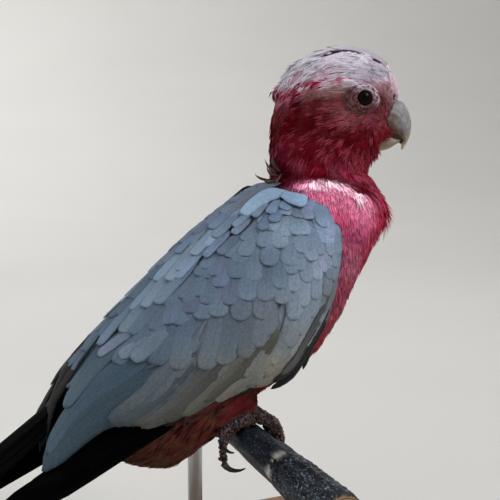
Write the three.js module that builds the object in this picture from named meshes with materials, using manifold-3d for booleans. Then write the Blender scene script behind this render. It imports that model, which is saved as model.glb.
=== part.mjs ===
// A life-size still model of a galah (a rose-breasted cockatoo) that stands on a short length of branch,
// which two rods hold over a flat base, as in a museum.
//
// Millimetres. +X is the way the body faces, +Y its left, +Z up. The origin is the middle of the base's
// underside. The bird is shaped in its own frame, whose origin is on the branch's axis between the feet,
// and the head in a frame of its own between the eyes, turned a little to the bird's right.

import * as THREE from "three";
import { mergeVertices } from "three/addons/utils/BufferGeometryUtils.js";
import Module from "manifold-3d";

const wasm = await Module();
wasm.setup();

// ---- Driving dimensions ------------------------------------------------------------------------

const GAP = 0.35; // between neighbouring solids
const PERCH_HEIGHT = 100; // the branch's axis over the floor
const PERCH_RADIUS = 7.8;
const PERCH_NEAR = -104; // the ends of the branch, to the bird's right and left
const PERCH_FAR = 76;
const BASE = { length: 190, width: 196, thickness: 14, corner: 20, bevel: 1.5 };
const ROD = { radius: 4, depth: 3, foot: 6 }; // how deep it goes into the branch and into the base
const ROD_PLACES = { near: -86, far: 58 };

const HEAD_TURN = THREE.MathUtils.degToRad(-23);
const HEAD_CENTRE = new THREE.Vector3(65.5, -5.5, 155.5); // between the eyes
const HEAD_PIVOT = 18; // how far behind that the head turns about
const EYE = { forward: -2.4, side: 13.2, up: -0.8, radius: 4.7, turn: THREE.MathUtils.degToRad(15) };
const EYE_RING = 8.3; // the outer radius of the bare skin round the eye
const FOOT_SPREAD = 20; // from the middle of the body to each foot
const TAIL_LENGTH = 146;

const COLOURS = {
  rose: { color: 0xb8455f, roughness: 0.9 },
  crown: { color: 0xd9c3cc, roughness: 0.9 },
  grey: { color: 0x7f8b98, roughness: 0.8 },
  slate: { color: 0x1d2126, roughness: 0.7 },
  horn: { color: 0x9ea3a0, roughness: 0.5 },
  eye: { color: 0x080606, roughness: 0.1 },
  bare: { color: 0xa98e90, roughness: 0.8 },
  scale: { color: 0x4a3b3a, roughness: 0.8 },
  claw: { color: 0x1c1614, roughness: 0.4 },
  bark: { color: 0x1b1e24, roughness: 0.85 },
  wood: { color: 0x6b4a32, roughness: 0.5 },
  steel: { color: 0x8d9094, roughness: 0.3, metalness: 1 },
};

// ---- Shapes and solids -------------------------------------------------------------------------

const HANDS = { left: 1, right: -1 };

const vec = (x, y, z) => new THREE.Vector3(x, y, z);
const range = (count) => [...Array(count).keys()];

// A closed surface through rings of equally many points. Its ends are fans, or on a plate, whose rings
// go out along one face and back along the other, strips between the faces.
function loft(rings, isPlate = false) {
  const sides = rings[0].length;
  const middle = (ring) => ring.reduce((sum, p) => sum.add(p), vec(0, 0, 0)).divideScalar(sides);
  const points = rings.flat();
  const top = points.length - sides;
  const index = [];
  for (const j of range(sides)) {
    const k = (j + 1) % sides;
    for (let low = 0; low < top; low += sides) {
      const high = low + sides;
      index.push(low + j, low + k, high + k, low + j, high + k, high + j);
    }
    if (!isPlate) index.push(points.length, k, j, points.length + 1, top + j, top + k);
  }
  if (isPlate) {
    for (const j of range(sides / 2 - 1)) {
      const [a, b, c, d] = [j, j + 1, sides - 2 - j, sides - 1 - j];
      index.push(b, a, d, b, d, c);
      index.push(top + a, top + b, top + c, top + a, top + c, top + d);
    }
  } else {
    points.push(middle(rings[0]), middle(rings.at(-1)));
  }
  return facingOut(new THREE.BufferGeometry().setFromPoints(points).setIndex(index));
}

// Turns every triangle round if together they enclose a negative volume.
function facingOut(geometry) {
  const at = geometry.getAttribute("position");
  const index = geometry.getIndex().array;
  const corner = range(3).map(() => vec(0, 0, 0));
  let volume = 0;
  for (let i = 0; i < index.length; i += 3) {
    corner.forEach((c, n) => c.fromBufferAttribute(at, index[i + n]));
    volume += corner[0].dot(corner[1].clone().cross(corner[2]));
  }
  if (volume < 0) {
    for (let i = 0; i < index.length; i += 3) [index[i + 1], index[i + 2]] = [index[i + 2], index[i + 1]];
  }
  return geometry;
}

function solidOf(geometry) {
  const bare = geometry.clone().deleteAttribute("normal").deleteAttribute("uv");
  const merged = mergeVertices(bare, 1e-4);
  return new wasm.Manifold(
    new wasm.Mesh({
      numProp: 3,
      vertProperties: merged.getAttribute("position").array,
      triVerts: new Uint32Array(merged.getIndex().array),
    }),
  );
}

function geometryOf(solid) {
  const mesh = solid.getMesh();
  const geometry = new THREE.BufferGeometry();
  geometry.setAttribute("position", new THREE.BufferAttribute(new Float32Array(mesh.vertProperties), 3));
  geometry.setIndex(new THREE.BufferAttribute(new Uint32Array(mesh.triVerts), 1));
  return geometry;
}

// What is left of a geometry once others are cut from it, each already grown by the gap.
function without(geometry, ...cutters) {
  return geometryOf(cutters.reduce((left, cutter) => left.subtract(solidOf(cutter)), solidOf(geometry)));
}

const joined = (...geometries) => geometryOf(geometries.map(solidOf).reduce((sum, next) => sum.add(next)));
const shared = (a, b) => geometryOf(solidOf(a).intersect(solidOf(b)));

// The same shape on the bird's other side.
function mirrored(geometry) {
  return facingOut(geometry.clone().scale(1, -1, 1));
}

// A smooth value through evenly spaced numbers, at t from 0 to 1.
function through(values, t) {
  return new THREE.SplineCurve(values.map((v, i) => new THREE.Vector2(i, v))).getPoint(t).y;
}

const curveOf = (points) => new THREE.CatmullRomCurve3(points.map((p) => vec(...p)));

// A tube of round rings along a curve. radius(t) is its radius at t from 0 to 1, and flat its height
// over its width.
function tube(curve, radius, steps, sides, flat = 1) {
  const side = vec(0, 1, 0);
  const rings = range(steps + 1).map((i) => {
    const t = i / steps;
    const along = curve.getTangent(t);
    const across = side.clone().addScaledVector(along, -side.dot(along)).normalize();
    const up = along.clone().cross(across);
    return range(sides).map((j) => {
      const turn = (2 * Math.PI * j) / sides;
      return curve
        .getPoint(t)
        .addScaledVector(across, radius(t) * Math.cos(turn))
        .addScaledVector(up, flat * radius(t) * Math.sin(turn));
    });
  });
  return loft(rings);
}

// ---- Trunk: breast, back, belly and the coverts under the tail ----------------------------------

const TRUNK = {
  back: [[30, 0, 126], [18, 0, 115], [8, 0, 101], [-5, 0, 87], [-20, 0, 72], [-35, 0, 57], [-48, 0, 43],
    [-58, 0, 32], [-66, 0, 22], [-71, 0, 12], [-70, 0, 3]],
  front: [[58, 0, 127], [77, 0, 112], [75, 0, 93], [62, 0, 72], [52, 0, 51], [35, 0, 30], [10, 0, 18],
    [-16, 0, -4], [-33, 0, -14], [-52, 0, -9], [-64, 0, -3]],
  halfWidth: [13, 25.5, 31.5, 34.5, 35.5, 34, 31.5, 27, 20, 12, 4],
  keel: 0.1, // how much broader than the middle the breast is, and how much narrower the back
};

function trunkShape(grow = 0) {
  const back = curveOf(TRUNK.back);
  const front = curveOf(TRUNK.front);
  const steps = 15;
  const sides = 20;
  const rings = range(steps + 1).map((i) => {
    const t = i / steps;
    const middle = back.getPoint(t).lerp(front.getPoint(t), 0.5);
    const depth = back.getPoint(t).sub(middle);
    depth.setLength(depth.length() + grow);
    const width = through(TRUNK.halfWidth, t) + grow;
    return range(sides).map((j) => {
      const turn = (2 * Math.PI * j) / sides;
      const broad = 1 - TRUNK.keel * Math.cos(turn);
      return middle
        .clone()
        .addScaledVector(depth, Math.cos(turn))
        .add(vec(0, width * broad * Math.sin(turn), 0));
    });
  });
  return loft(rings);
}

// ---- Neck and head: one column from the shoulders to the crown -----------------------------------
// Each row is a level of the head's frame: height over the eyes, back and front of the column, half
// width, and how much of the head's turn the level has.

const COLUMN = [
  { up: -58, back: -58, front: -4, half: 24, turn: 0 },
  { up: -47, back: -49, front: 1, half: 23.5, turn: 0.3 },
  { up: -36, back: -45.5, front: 3, half: 22, turn: 0.8 },
  { up: -25, back: -45.5, front: 9, half: 21, turn: 1 },
  { up: -12, back: -45.5, front: 14, half: 20.6, turn: 1 },
  { up: 0, back: -43, front: 18, half: 19.4, turn: 1 },
  { up: 8, back: -38, front: 17, half: 17.6, turn: 1 },
  { up: 15, back: -29, front: 13.5, half: 14.5, turn: 1 },
  { up: 21, back: -19, front: 7, half: 9.5, turn: 1 },
  { up: 23.6, back: -11, front: -1, half: 4.5, turn: 1 },
  { up: 24.1, back: -7, front: -5, half: 1, turn: 1 },
];
const FACE_TAPER = 0.2; // how much narrower than its middle the face is
const NECK = { top: 129, foot: 112, middle: 45, tilt: THREE.MathUtils.degToRad(12) };

function columnShape(grow = 0) {
  const at = (key, t) => through(COLUMN.map((row) => row[key]), t);
  const steps = 14;
  const sides = 18;
  const rings = range(steps + 1).map((i) => {
    const t = i / steps;
    const turn = HEAD_TURN * at("turn", t);
    const forward = vec(Math.cos(turn), Math.sin(turn), 0);
    const left = vec(-Math.sin(turn), Math.cos(turn), 0);
    // The column turns about its own middle, which is behind the eyes.
    const faced = vec(Math.cos(HEAD_TURN), Math.sin(HEAD_TURN), 0);
    const pivot = HEAD_CENTRE.clone().addScaledVector(faced, -HEAD_PIVOT);
    const start = pivot.addScaledVector(forward, HEAD_PIVOT);
    const rise = at("up", t) + (i === steps ? grow : 0);
    const reach = (at("front", t) + at("back", t)) / 2;
    const middle = start.addScaledVector(forward, reach).add(vec(0, 0, rise));
    const length = (at("front", t) - at("back", t)) / 2 + grow;
    const width = at("half", t) + grow;
    return range(sides).map((j) => {
      const angle = (2 * Math.PI * j) / sides;
      const narrow = 1 - FACE_TAPER * at("turn", t) * Math.cos(angle);
      return middle
        .clone()
        .addScaledVector(forward, length * Math.cos(angle))
        .addScaledVector(left, width * narrow * Math.sin(angle));
    });
  });
  return loft(rings);
}

// The space over or under a plane that crosses the neck's middle at some height, lower in front.
function beyond(height, way, tilt) {
  const room = 400;
  return new THREE.BoxGeometry(room, room, room)
    .translate(0, 0, (way * (room + GAP)) / 2)
    .rotateY(tilt)
    .translate(NECK.middle, 0, height);
}

// ---- Bill, eyes and crest, in the head's frame --------------------------------------------------

const BILL_KEEL = 0.22; // how much narrower a bill's upper line is than its middle

// A curved, tapering shape whose rings hang between an upper and a lower line.
function beak({ top, bottom, half, steps, sides }, grow = 0) {
  const upper = curveOf(top.map(([x, z]) => [x, 0, z]));
  const lower = curveOf(bottom.map(([x, z]) => [x, 0, z]));
  const rings = range(steps + 1).map((i) => {
    const t = i / steps;
    const middle = upper.getPoint(t).lerp(lower.getPoint(t), 0.5);
    const depth = upper.getPoint(t).sub(middle);
    depth.setLength(depth.length() + grow);
    const width = through(half, t) + grow;
    return range(sides).map((j) => {
      const angle = (2 * Math.PI * j) / sides;
      const keeled = width * (1 - BILL_KEEL * Math.cos(angle));
      return middle
        .clone()
        .addScaledVector(depth, Math.cos(angle))
        .add(vec(0, keeled * Math.sin(angle), 0));
    });
  });
  return loft(rings);
}

const UPPER_BILL = {
  top: [[11, 1], [18.6, -0.4], [22.3, -5.6], [23.7, -12], [22.9, -17.6], [21.2, -21.4], [19.6, -24]],
  bottom: [[7, -12], [11.5, -14.6], [14.4, -16.8], [17.2, -17.2], [18.8, -18.9], [18.9, -21.6],
    [18.9, -23.8]],
  half: [6.6, 7, 6.5, 5.3, 3.6, 1.9, 0.6],
  steps: 11,
  sides: 12,
};
const LOWER_BILL = {
  top: [[6, -15], [11.5, -15.6], [15.2, -17.6], [17.9, -18.6]],
  bottom: [[6, -25], [11.6, -24], [15.4, -22], [18.1, -20]],
  half: [5.8, 5.6, 4.8, 3],
  steps: 5,
  sides: 10,
};

const RING_SIDES = 14;
const RING_FLOOR = -1.5; // under the eye's middle, along its own axis
const eyePlace = (side) => vec(EYE.forward, side * EYE.side, EYE.up);

function eyeShape(side, grow = 0) {
  const at = eyePlace(side);
  return new THREE.SphereGeometry(EYE.radius + grow, 12, 8).translate(at.x, at.y, at.z);
}

// The bare skin round the eye: a low, round-topped ring whose lids reach in over the ball. It faces out
// along the eye's own axis. Each pair of its section is a radius and a height over the ball's middle.
const RING_SECTION = [[5.1, RING_FLOOR], [EYE_RING, RING_FLOOR], [EYE_RING, 1.6], [7, 3.5], [5.4, 4.2],
  [3.9, 3.6], [4.4, 2.4], [5.1, 1]];

// Turns a shape about Y into the eye's place, facing out.
function placedAtEye(geometry, side) {
  const at = eyePlace(side);
  return facingOut(
    geometry
      .scale(1, side, 1)
      .rotateZ(-side * EYE.turn)
      .translate(at.x, at.y, at.z),
  );
}

function eyeRingShape(side) {
  const section = [...RING_SECTION, RING_SECTION[0]].map(([r, z]) => new THREE.Vector2(r, z));
  const ring = new THREE.LatheGeometry(section, RING_SIDES);
  return placedAtEye(mergeVertices(ring.deleteAttribute("normal").deleteAttribute("uv"), 1e-4), side);
}

// The round socket that the eye and its ring sit in.
function socketShape(side) {
  const radius = EYE_RING + GAP;
  const reach = 2 * EYE_RING; // past the head's surface
  const socket = new THREE.CylinderGeometry(radius, radius, reach, RING_SIDES);
  return placedAtEye(socket.translate(0, reach / 2 + RING_FLOOR - GAP, 0), side);
}

// The crest lies folded along the crown, with its tips just clear of the nape.
const CREST = {
  line: [[9, 0, 15], [1.5, 0, 21.6], [-9, 0, 23.8], [-20, 0, 21], [-30, 0, 16], [-38, 0, 9.5],
    [-43.5, 0, 2]],
  half: [4, 8.5, 11.5, 12.5, 11, 8, 3],
  rise: [1.4, 2, 2.4, 2.6, 2.6, 2.3, 1],
  bend: 7, // the radius of its arch, tighter than the crown's, so that its edges sink in
};

function crestShape() {
  const line = curveOf(CREST.line);
  const steps = 10;
  const sides = 10;
  const rings = range(steps + 1).map((i) => {
    const t = i / steps;
    const along = line.getTangent(t);
    const up = vec(0, 1, 0).cross(along).normalize();
    if (up.z < 0) up.negate();
    return range(sides).map((j) => {
      const angle = (2 * Math.PI * j) / sides;
      const width = through(CREST.half, t) * Math.cos(angle);
      const arch = (width * width) / (2 * CREST.bend);
      return line
        .getPoint(t)
        .addScaledVector(up, through(CREST.rise, t) * Math.sin(angle) - arch)
        .add(vec(0, width, 0));
    });
  });
  return loft(rings);
}

// ---- Wings and tail -----------------------------------------------------------------------------

// A folded wing is a curved plate. Each row is a line across it: the top edge by the back, the middle,
// which bulges, and the lower edge, with the plate's thickness there. This is the left wing.
const WING = [
  { top: [24, 19, 111], middle: [32, 33, 97], low: [40, 33, 80], thick: 2 },
  { top: [10, 11, 113], middle: [18, 38.5, 90.5], low: [33, 35.5, 63], thick: 6.5 },
  { top: [-4, 4, 104.5], middle: [4, 41, 79], low: [23.5, 35.5, 48], thick: 7 },
  { top: [-22, 2.5, 91.5], middle: [-14, 41, 66], low: [11.5, 34.5, 32.5], thick: 6.5 },
  { top: [-42, 2.5, 72.5], middle: [-35, 39, 53], low: [-13, 32, 24], thick: 5.5 },
  { top: [-61, 3.5, 53.5], middle: [-54, 36, 40], low: [-38, 30, 16], thick: 4 },
  { top: [-77, 8, 35], middle: [-73, 31.5, 27], low: [-64, 28, 12], thick: 3 },
  { top: [-88, 16, 15], middle: [-86, 27, 11.5], low: [-82, 26, 4], thick: 2.2 },
  { top: [-93.5, 21.5, 1], middle: [-93.8, 23.4, 0.2], low: [-93.5, 24, -0.8], thick: 1.4 },
];

// The long dark flight feathers of the hand, folded under the wing's lower edge.
const PRIMARIES = [
  { top: [4, 27, 32], middle: [3, 27.6, 30], low: [2, 27, 27.5], thick: 1.2 },
  { top: [-22, 26, 27], middle: [-23.5, 27, 23], low: [-25, 26.5, 19], thick: 2.4 },
  { top: [-43, 25, 21], middle: [-45.5, 26, 15], low: [-48, 25.5, 8.5], thick: 3.2 },
  { top: [-62, 24, 14], middle: [-66, 25, 6], low: [-70, 24.5, -3.5], thick: 3.8 },
  { top: [-84, 23, 1], middle: [-87, 24, -5], low: [-90, 23.5, -12.5], thick: 3.6 },
  { top: [-110, 22, -12], middle: [-112.5, 23, -17], low: [-115, 22.5, -24], thick: 2.8 },
  { top: [-138, 21, -31.5], middle: [-139, 21.5, -33], low: [-140, 21.3, -35], thick: 1 },
];

function plate(rows, grow, steps, across) {
  const at = (key, t) => curveOf(rows.map((row) => row[key])).getPoint(t);
  const rings = range(steps + 1).map((i) => {
    // The stations crowd towards the ends, which are rounder than the middle.
    const t = (1 - Math.cos((Math.PI * i) / steps)) / 2;
    const [top, middle, low] = [at("top", t), at("middle", t), at("low", t)];
    const control = middle.multiplyScalar(2).addScaledVector(top, -0.5).addScaledVector(low, -0.5);
    const edge = new THREE.QuadraticBezierCurve3(top, control, low);
    const along = at("middle", Math.min(t + 0.01, 1)).sub(at("middle", Math.max(t - 0.01, 0)));
    const thick = through(rows.map((row) => row.thick), t);
    const skin = (share, depth) => {
      const outward = edge.getTangent(share).cross(along).normalize();
      if (outward.y < 0) outward.negate();
      return edge.getPoint(share).addScaledVector(outward, depth);
    };
    const bulge = (share) => 0.4 + 0.6 * Math.sin(Math.PI * share);
    const outer = range(across + 1).map((j) => skin(j / across, grow));
    const inner = range(across + 1).map((j) => {
      const share = 0.03 + (0.94 * j) / across;
      return skin(share, -thick * bulge(share) - grow);
    });
    return [...outer, ...inner.reverse()];
  });
  if (grow) growEnds(rings, grow);
  return loft(rings, true);
}

// Moves a plate's edges out by the gap, along the plate and across it.
function growEnds(rings, grow) {
  const half = rings[0].length / 2;
  const push = (p, from) => p.add(p.clone().sub(from).setLength(grow * 1.5));
  for (const ring of rings) {
    const ends = [[0, 1], [half - 1, half - 2], [half, half + 1], [2 * half - 1, 2 * half - 2]];
    const inside = ends.map(([, next]) => ring[next].clone());
    ends.forEach(([end], n) => push(ring[end], inside[n]));
  }
  rings[0].forEach((p, j) => push(p, rings[1][j].clone()));
  rings.at(-1).forEach((p, j) => push(p, rings.at(-2)[j].clone()));
}

const wingShape = (grow = 0) => plate(WING, grow, 14, 8);
const primariesShape = (grow = 0) => plate(PRIMARIES, grow, 10, 4);

const TAIL = {
  root: vec(-48, 0, 46),
  pitch: THREE.MathUtils.degToRad(36),
  halfWidth: [9, 12, 15, 18, 21, 23, 23.5],
  thickness: [2.6, 1.4], // at the root and at the end
  arch: 0.16, // how far its sides hang, over its half width
  rounding: 9, // how much shorter the outer feathers are
  notch: 1.6, // between two feathers' ends
};

// The closed tail feathers as one arched slab, whose end has a notch between each two that show.
function tailShape() {
  const along = vec(-Math.cos(TAIL.pitch), 0, -Math.sin(TAIL.pitch));
  const up = vec(-Math.sin(TAIL.pitch), 0, Math.cos(TAIL.pitch));
  const steps = 6;
  const across = 12;
  const rings = range(steps + 1).map((i) => {
    const t = i / steps;
    const half = through(TAIL.halfWidth, t);
    const thick = THREE.MathUtils.lerp(...TAIL.thickness, t);
    const line = (share, depth) => {
      const side = 2 * share - 1;
      const rounded = TAIL.rounding * side * side * t;
      const notch = TAIL.notch * t ** 6 * Math.abs(Math.sin((share * across * Math.PI) / 2));
      return TAIL.root
        .clone()
        .addScaledVector(along, TAIL_LENGTH * t - rounded - notch)
        .addScaledVector(up, depth - TAIL.arch * half * side * side)
        .add(vec(0, half * side, 0));
    };
    const top = range(across + 1).map((j) => line(j / across, thick / 2));
    const under = range(across + 1).map((j) => line(j / across, -thick / 2));
    return [...top, ...under.reverse()];
  });
  return loft(rings, true);
}

// ---- Legs and feet, in the bird's frame, for the left side -----------------------------------------

const LEG = {
  line: [[4, FOOT_SPREAD - 3, 42], [-2, FOOT_SPREAD - 1, 30], [-3, FOOT_SPREAD, 20], [0, FOOT_SPREAD, 15.5]],
  radius: [13, 10.5, 6.8, 5],
};
const FOOT = { halfLength: 6.6, halfWidth: 5.4, halfHeight: 4.3, rise: 4.2 }; // its middle, over the branch

const legShape = (grow = 0) => tube(curveOf(LEG.line), (t) => through(LEG.radius, t) + grow, 6, 12);

// The sole pad on top of the branch, under the leg.
function footShape(grow = 0) {
  return new THREE.SphereGeometry(1, 10, 7)
    .scale(FOOT.halfLength + grow, FOOT.halfWidth + grow, FOOT.halfHeight + grow)
    .translate(0, FOOT_SPREAD, PERCH_RADIUS + FOOT.rise);
}

// Each toe is an arc round the branch, from the foot to its claw. Angles are in degrees from straight
// up, forward positive. stand is how far the toe's end stands off the branch.
const TOES = {
  inner_front: { side: -3.9, from: 14, to: 104, stand: 0.4, radius: 3.1, claw: 1 },
  outer_front: { side: 3.9, from: 14, to: 122, stand: 0.4, radius: 3.3, claw: 1 },
  inner_back: { side: -3.6, from: -14, to: -84, stand: 1.2, radius: 2.6, claw: 1 },
  outer_back: { side: 3.9, from: -14, to: -112, stand: 4.6, radius: 3, claw: 1.15 },
};
const TOE = { clearance: 0.9, splay: 0.25, taper: 0.2, pads: 0.07 };
const CLAW = { bend: 7.4, radius: 1.75, taper: 0.8, sweep: 1.44, start: 0.11 }; // angles in radians

// A point beside the branch, on an arc that stands off it more and more.
function roundPerch({ side, from, stand, radius }, degrees) {
  const angle = THREE.MathUtils.degToRad(degrees);
  const share = Math.min(Math.abs((degrees - from) / 80), 1);
  const reach = PERCH_RADIUS + radius + TOE.clearance + stand * share;
  const spread = FOOT_SPREAD + side * (1 + TOE.splay * share);
  return vec(reach * Math.sin(angle), spread, reach * Math.cos(angle));
}

function toeShape(toe) {
  const stops = range(5).map((i) => roundPerch(toe, toe.from + ((toe.to - toe.from) * i) / 4));
  const pads = (t) => toe.radius * (1 - TOE.taper * t + TOE.pads * Math.cos(6 * Math.PI * t));
  return tube(new THREE.CatmullRomCurve3(stops), pads, 6, 7);
}

// A claw goes on from its toe and curls in under the branch to a point.
function clawShape(toe) {
  const way = Math.sign(toe.to);
  const root = roundPerch(toe, toe.to);
  const start = THREE.MathUtils.degToRad(toe.to);
  const bend = CLAW.bend * toe.claw;
  const hub = root.clone().sub(vec(bend * Math.sin(start), 0, bend * Math.cos(start)));
  const stops = range(5).map((i) => {
    const angle = start + way * (CLAW.start + (CLAW.sweep * i) / 4);
    return hub.clone().add(vec(bend * Math.sin(angle), 0, bend * Math.cos(angle)));
  });
  return tube(new THREE.CatmullRomCurve3(stops), (t) => CLAW.radius * (1 - CLAW.taper * t), 5, 6);
}

// ---- Branch and stand ------------------------------------------------------------------------------

// The branch thickens over a stretch beyond the bird's right foot, and has low knots clear of the feet.
const SWELL = { start: -34, length: 50, height: 0.9 };
const KNOTS = { clear: 30, fade: 20, height: 0.35 };

function perchRadius(y) {
  return PERCH_RADIUS + SWELL.height * THREE.MathUtils.smoothstep(SWELL.start - y, 0, SWELL.length);
}

function perchShape(grow = 0) {
  const steps = 13;
  const sides = 12;
  const rings = range(steps + 1).map((i) => {
    const y = PERCH_FAR + ((PERCH_NEAR - PERCH_FAR) * i) / steps;
    const free = THREE.MathUtils.clamp((Math.abs(y) - KNOTS.clear) / KNOTS.fade, 0, 1);
    return range(sides).map((j) => {
      const angle = (2 * Math.PI * j) / sides;
      const knots = KNOTS.height * free * Math.sin(2 * angle + y * 0.09) * Math.sin(y * 0.17);
      const radius = perchRadius(y) + knots + grow;
      return vec(radius * Math.cos(angle), y, radius * Math.sin(angle));
    });
  });
  return loft(rings);
}

// A rod ends inside a blind hole in the branch and another in the base.
function rodShape(y, grow = 0) {
  const top = PERCH_HEIGHT - perchRadius(y) + ROD.depth + grow;
  const low = BASE.thickness - ROD.foot - grow;
  return new THREE.CylinderGeometry(ROD.radius + grow, ROD.radius + grow, top - low, 12)
    .rotateX(Math.PI / 2)
    .translate(0, y, (top + low) / 2);
}

function baseShape() {
  const { length, width, thickness, corner, bevel } = BASE;
  const [x, y] = [length / 2 - bevel, width / 2 - bevel];
  const outline = new THREE.Shape();
  outline.absarc(x - corner, y - corner, corner, 0, Math.PI / 2);
  outline.absarc(corner - x, y - corner, corner, Math.PI / 2, Math.PI);
  outline.absarc(corner - x, corner - y, corner, Math.PI, 1.5 * Math.PI);
  outline.absarc(x - corner, corner - y, corner, 1.5 * Math.PI, 2 * Math.PI);
  return new THREE.ExtrudeGeometry(outline, {
    depth: thickness - 2 * bevel,
    bevelSize: bevel,
    bevelThickness: bevel,
    bevelSegments: 1,
    curveSegments: 3,
  }).translate(0, 0, bevel);
}

// ---- The assembly --------------------------------------------------------------------------------------

function piece(name, geometry, finish) {
  const mesh = new THREE.Mesh(geometry, new THREE.MeshStandardMaterial(COLOURS[finish]));
  mesh.name = name;
  return mesh;
}

const model = new THREE.Group();
const bird = new THREE.Group();
bird.position.z = PERCH_HEIGHT;
const head = new THREE.Group();
head.position.copy(HEAD_CENTRE);
head.rotation.z = HEAD_TURN;
model.add(bird);
bird.add(head);

// The head's own pieces are made in its frame, and cut the column in the bird's.
head.updateMatrix();
const onBird = (geometry) => geometry.clone().applyMatrix4(head.matrix);
const onHead = (geometry) => geometry.clone().applyMatrix4(head.matrix.clone().invert());

const bothSides = Object.values(HANDS);
const handed = (geometry, side) => (side > 0 ? geometry : mirrored(geometry));

const flesh = joined(trunkShape(), columnShape());
const bills = [beak(UPPER_BILL, GAP), beak(LOWER_BILL, GAP)];
const sockets = bothSides.flatMap((side) => [socketShape(side), eyeShape(side, GAP)]);
const headSolid = without(
  shared(flesh, beyond(NECK.top, 1, 0)),
  ...[...bills, ...sockets].map(onBird),
);
const wings = bothSides.map((side) => handed(wingShape(GAP), side));
const blades = bothSides.map((side) => handed(primariesShape(GAP), side));
const underHead = shared(flesh, beyond(NECK.top, -1, 0));
const neckSolid = without(shared(underHead, beyond(NECK.foot, 1, NECK.tilt)), ...wings);
const feet = bothSides.flatMap((side) => [
  handed(footShape(GAP), side),
  ...Object.values(TOES).map((toe) => handed(toeShape({ ...toe, radius: toe.radius + GAP }), side)),
]);
const trunkSolid = without(
  shared(underHead, beyond(NECK.foot, -1, NECK.tilt)),
  ...wings,
  ...blades,
  ...feet,
  perchShape(GAP),
);

bird.add(piece("trunk", trunkSolid, "rose"));
bird.add(piece("neck", neckSolid, "rose"));
bird.add(piece("head", headSolid, "rose"));
head.add(piece("crest", without(crestShape(), onHead(columnShape(GAP))), "crown"));
head.add(piece("bill_upper", beak(UPPER_BILL), "horn"));
head.add(piece("bill_lower", without(beak(LOWER_BILL), bills[0]), "horn"));

const tail = without(tailShape(), trunkShape(GAP), ...wings, ...blades);
bird.add(piece("tail", tail, "slate"));

for (const [name, side] of Object.entries(HANDS)) {
  head.add(piece(`eye_${name}`, eyeShape(side), "eye"));
  head.add(piece(`eye_ring_${name}`, eyeRingShape(side), "bare"));
  bird.add(piece(`wing_${name}`, handed(wingShape(), side), "grey"));
  bird.add(piece(`primaries_${name}`, handed(without(primariesShape(), wingShape(GAP)), side), "slate"));
  const leg = without(legShape(), trunkShape(GAP), footShape(GAP), wingShape(GAP));
  bird.add(piece(`leg_${name}`, handed(leg, side), "rose"));
  bird.add(piece(`foot_${name}`, handed(without(footShape(), perchShape(GAP)), side), "scale"));
  for (const [toe, size] of Object.entries(TOES)) {
    const toeSolid = without(toeShape(size), footShape(GAP), perchShape(GAP), legShape(GAP));
    const clawSolid = without(clawShape(size), toeShape({ ...size, radius: size.radius + GAP }));
    bird.add(piece(`toe_${name}_${toe}`, handed(toeSolid, side), "scale"));
    bird.add(piece(`claw_${name}_${toe}`, handed(clawSolid, side), "claw"));
  }
}

const holes = Object.values(ROD_PLACES).map((y) => rodShape(y, GAP));
model.add(piece("perch", without(perchShape().translate(0, 0, PERCH_HEIGHT), ...holes), "bark"));
model.add(piece("stand_base", without(baseShape(), ...holes), "wood"));
for (const [name, y] of Object.entries(ROD_PLACES)) {
  model.add(piece(`stand_rod_${name}`, rodShape(y), "steel"));
}

export default model;
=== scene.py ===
"""The looks of the galah: one skin, its feathers as meshes, bill, eyes, feet, branch and stand.

Lengths are millimetres in the bird's frame, until a mesh is made and they turn into the model's metres.
The frame's origin is on the branch's axis between the feet, +X is forward, +Y the bird's left, +Z up.
The head has a frame of its own, with its origin close to the middle between the eyes: forward, left, up.
"""

import math

import bpy
import numpy as np
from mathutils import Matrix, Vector, noise
from mathutils.bvhtree import BVHTree


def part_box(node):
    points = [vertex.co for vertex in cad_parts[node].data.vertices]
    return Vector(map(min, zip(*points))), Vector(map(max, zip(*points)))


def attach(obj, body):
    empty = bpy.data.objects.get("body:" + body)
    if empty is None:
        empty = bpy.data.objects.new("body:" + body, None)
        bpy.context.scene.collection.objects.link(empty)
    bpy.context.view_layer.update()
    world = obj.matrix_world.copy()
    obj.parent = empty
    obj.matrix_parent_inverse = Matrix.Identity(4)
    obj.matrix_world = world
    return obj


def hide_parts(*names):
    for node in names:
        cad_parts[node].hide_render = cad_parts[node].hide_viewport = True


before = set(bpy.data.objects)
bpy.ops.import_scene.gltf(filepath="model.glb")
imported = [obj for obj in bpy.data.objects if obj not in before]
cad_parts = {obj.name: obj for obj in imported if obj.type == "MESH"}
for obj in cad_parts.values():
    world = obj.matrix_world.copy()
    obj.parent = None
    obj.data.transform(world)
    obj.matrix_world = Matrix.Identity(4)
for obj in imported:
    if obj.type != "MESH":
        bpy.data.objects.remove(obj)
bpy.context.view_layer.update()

MM = 0.001
SIDES = {"left": 1, "right": -1}
chance = np.random.default_rng(11)


# ---- Vectors, curves and colours -----------------------------------------------------------------


def unit(vectors):
    """Vectors of length one in the same directions."""
    vectors = np.asarray(vectors, float)
    return vectors / np.maximum(np.linalg.norm(vectors, axis=-1, keepdims=True), 1e-9)


def dot(a, b):
    """The dot products of rows of vectors."""
    return (a * b).sum(axis=-1)


def along_surface(ways, normals):
    """Directions laid flat on a surface with those normals."""
    return unit(ways - dot(ways, normals)[..., None] * normals)


def smoothstep(low, high, values):
    """0 up to the low value, 1 from the high one, and an even rise between. They may be swapped."""
    t = np.clip((np.asarray(values, float) - low) / (high - low), 0, 1)
    return t * t * (3 - 2 * t)


def band(low, full_from, full_to, high, values):
    """1 between two values, and a fall to 0 on both sides."""
    return smoothstep(low, full_from, values) * smoothstep(high, full_to, values)


def blend(start, end, share):
    """Rows of values moved a share of the way from a start to an end, with one share for each row."""
    return start + share[:, None] * (end - start)


def noise_at(points, scale):
    """Smooth noise from about -1 to 1."""
    return np.array([noise.noise(Vector(point * scale)) for point in points])


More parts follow.
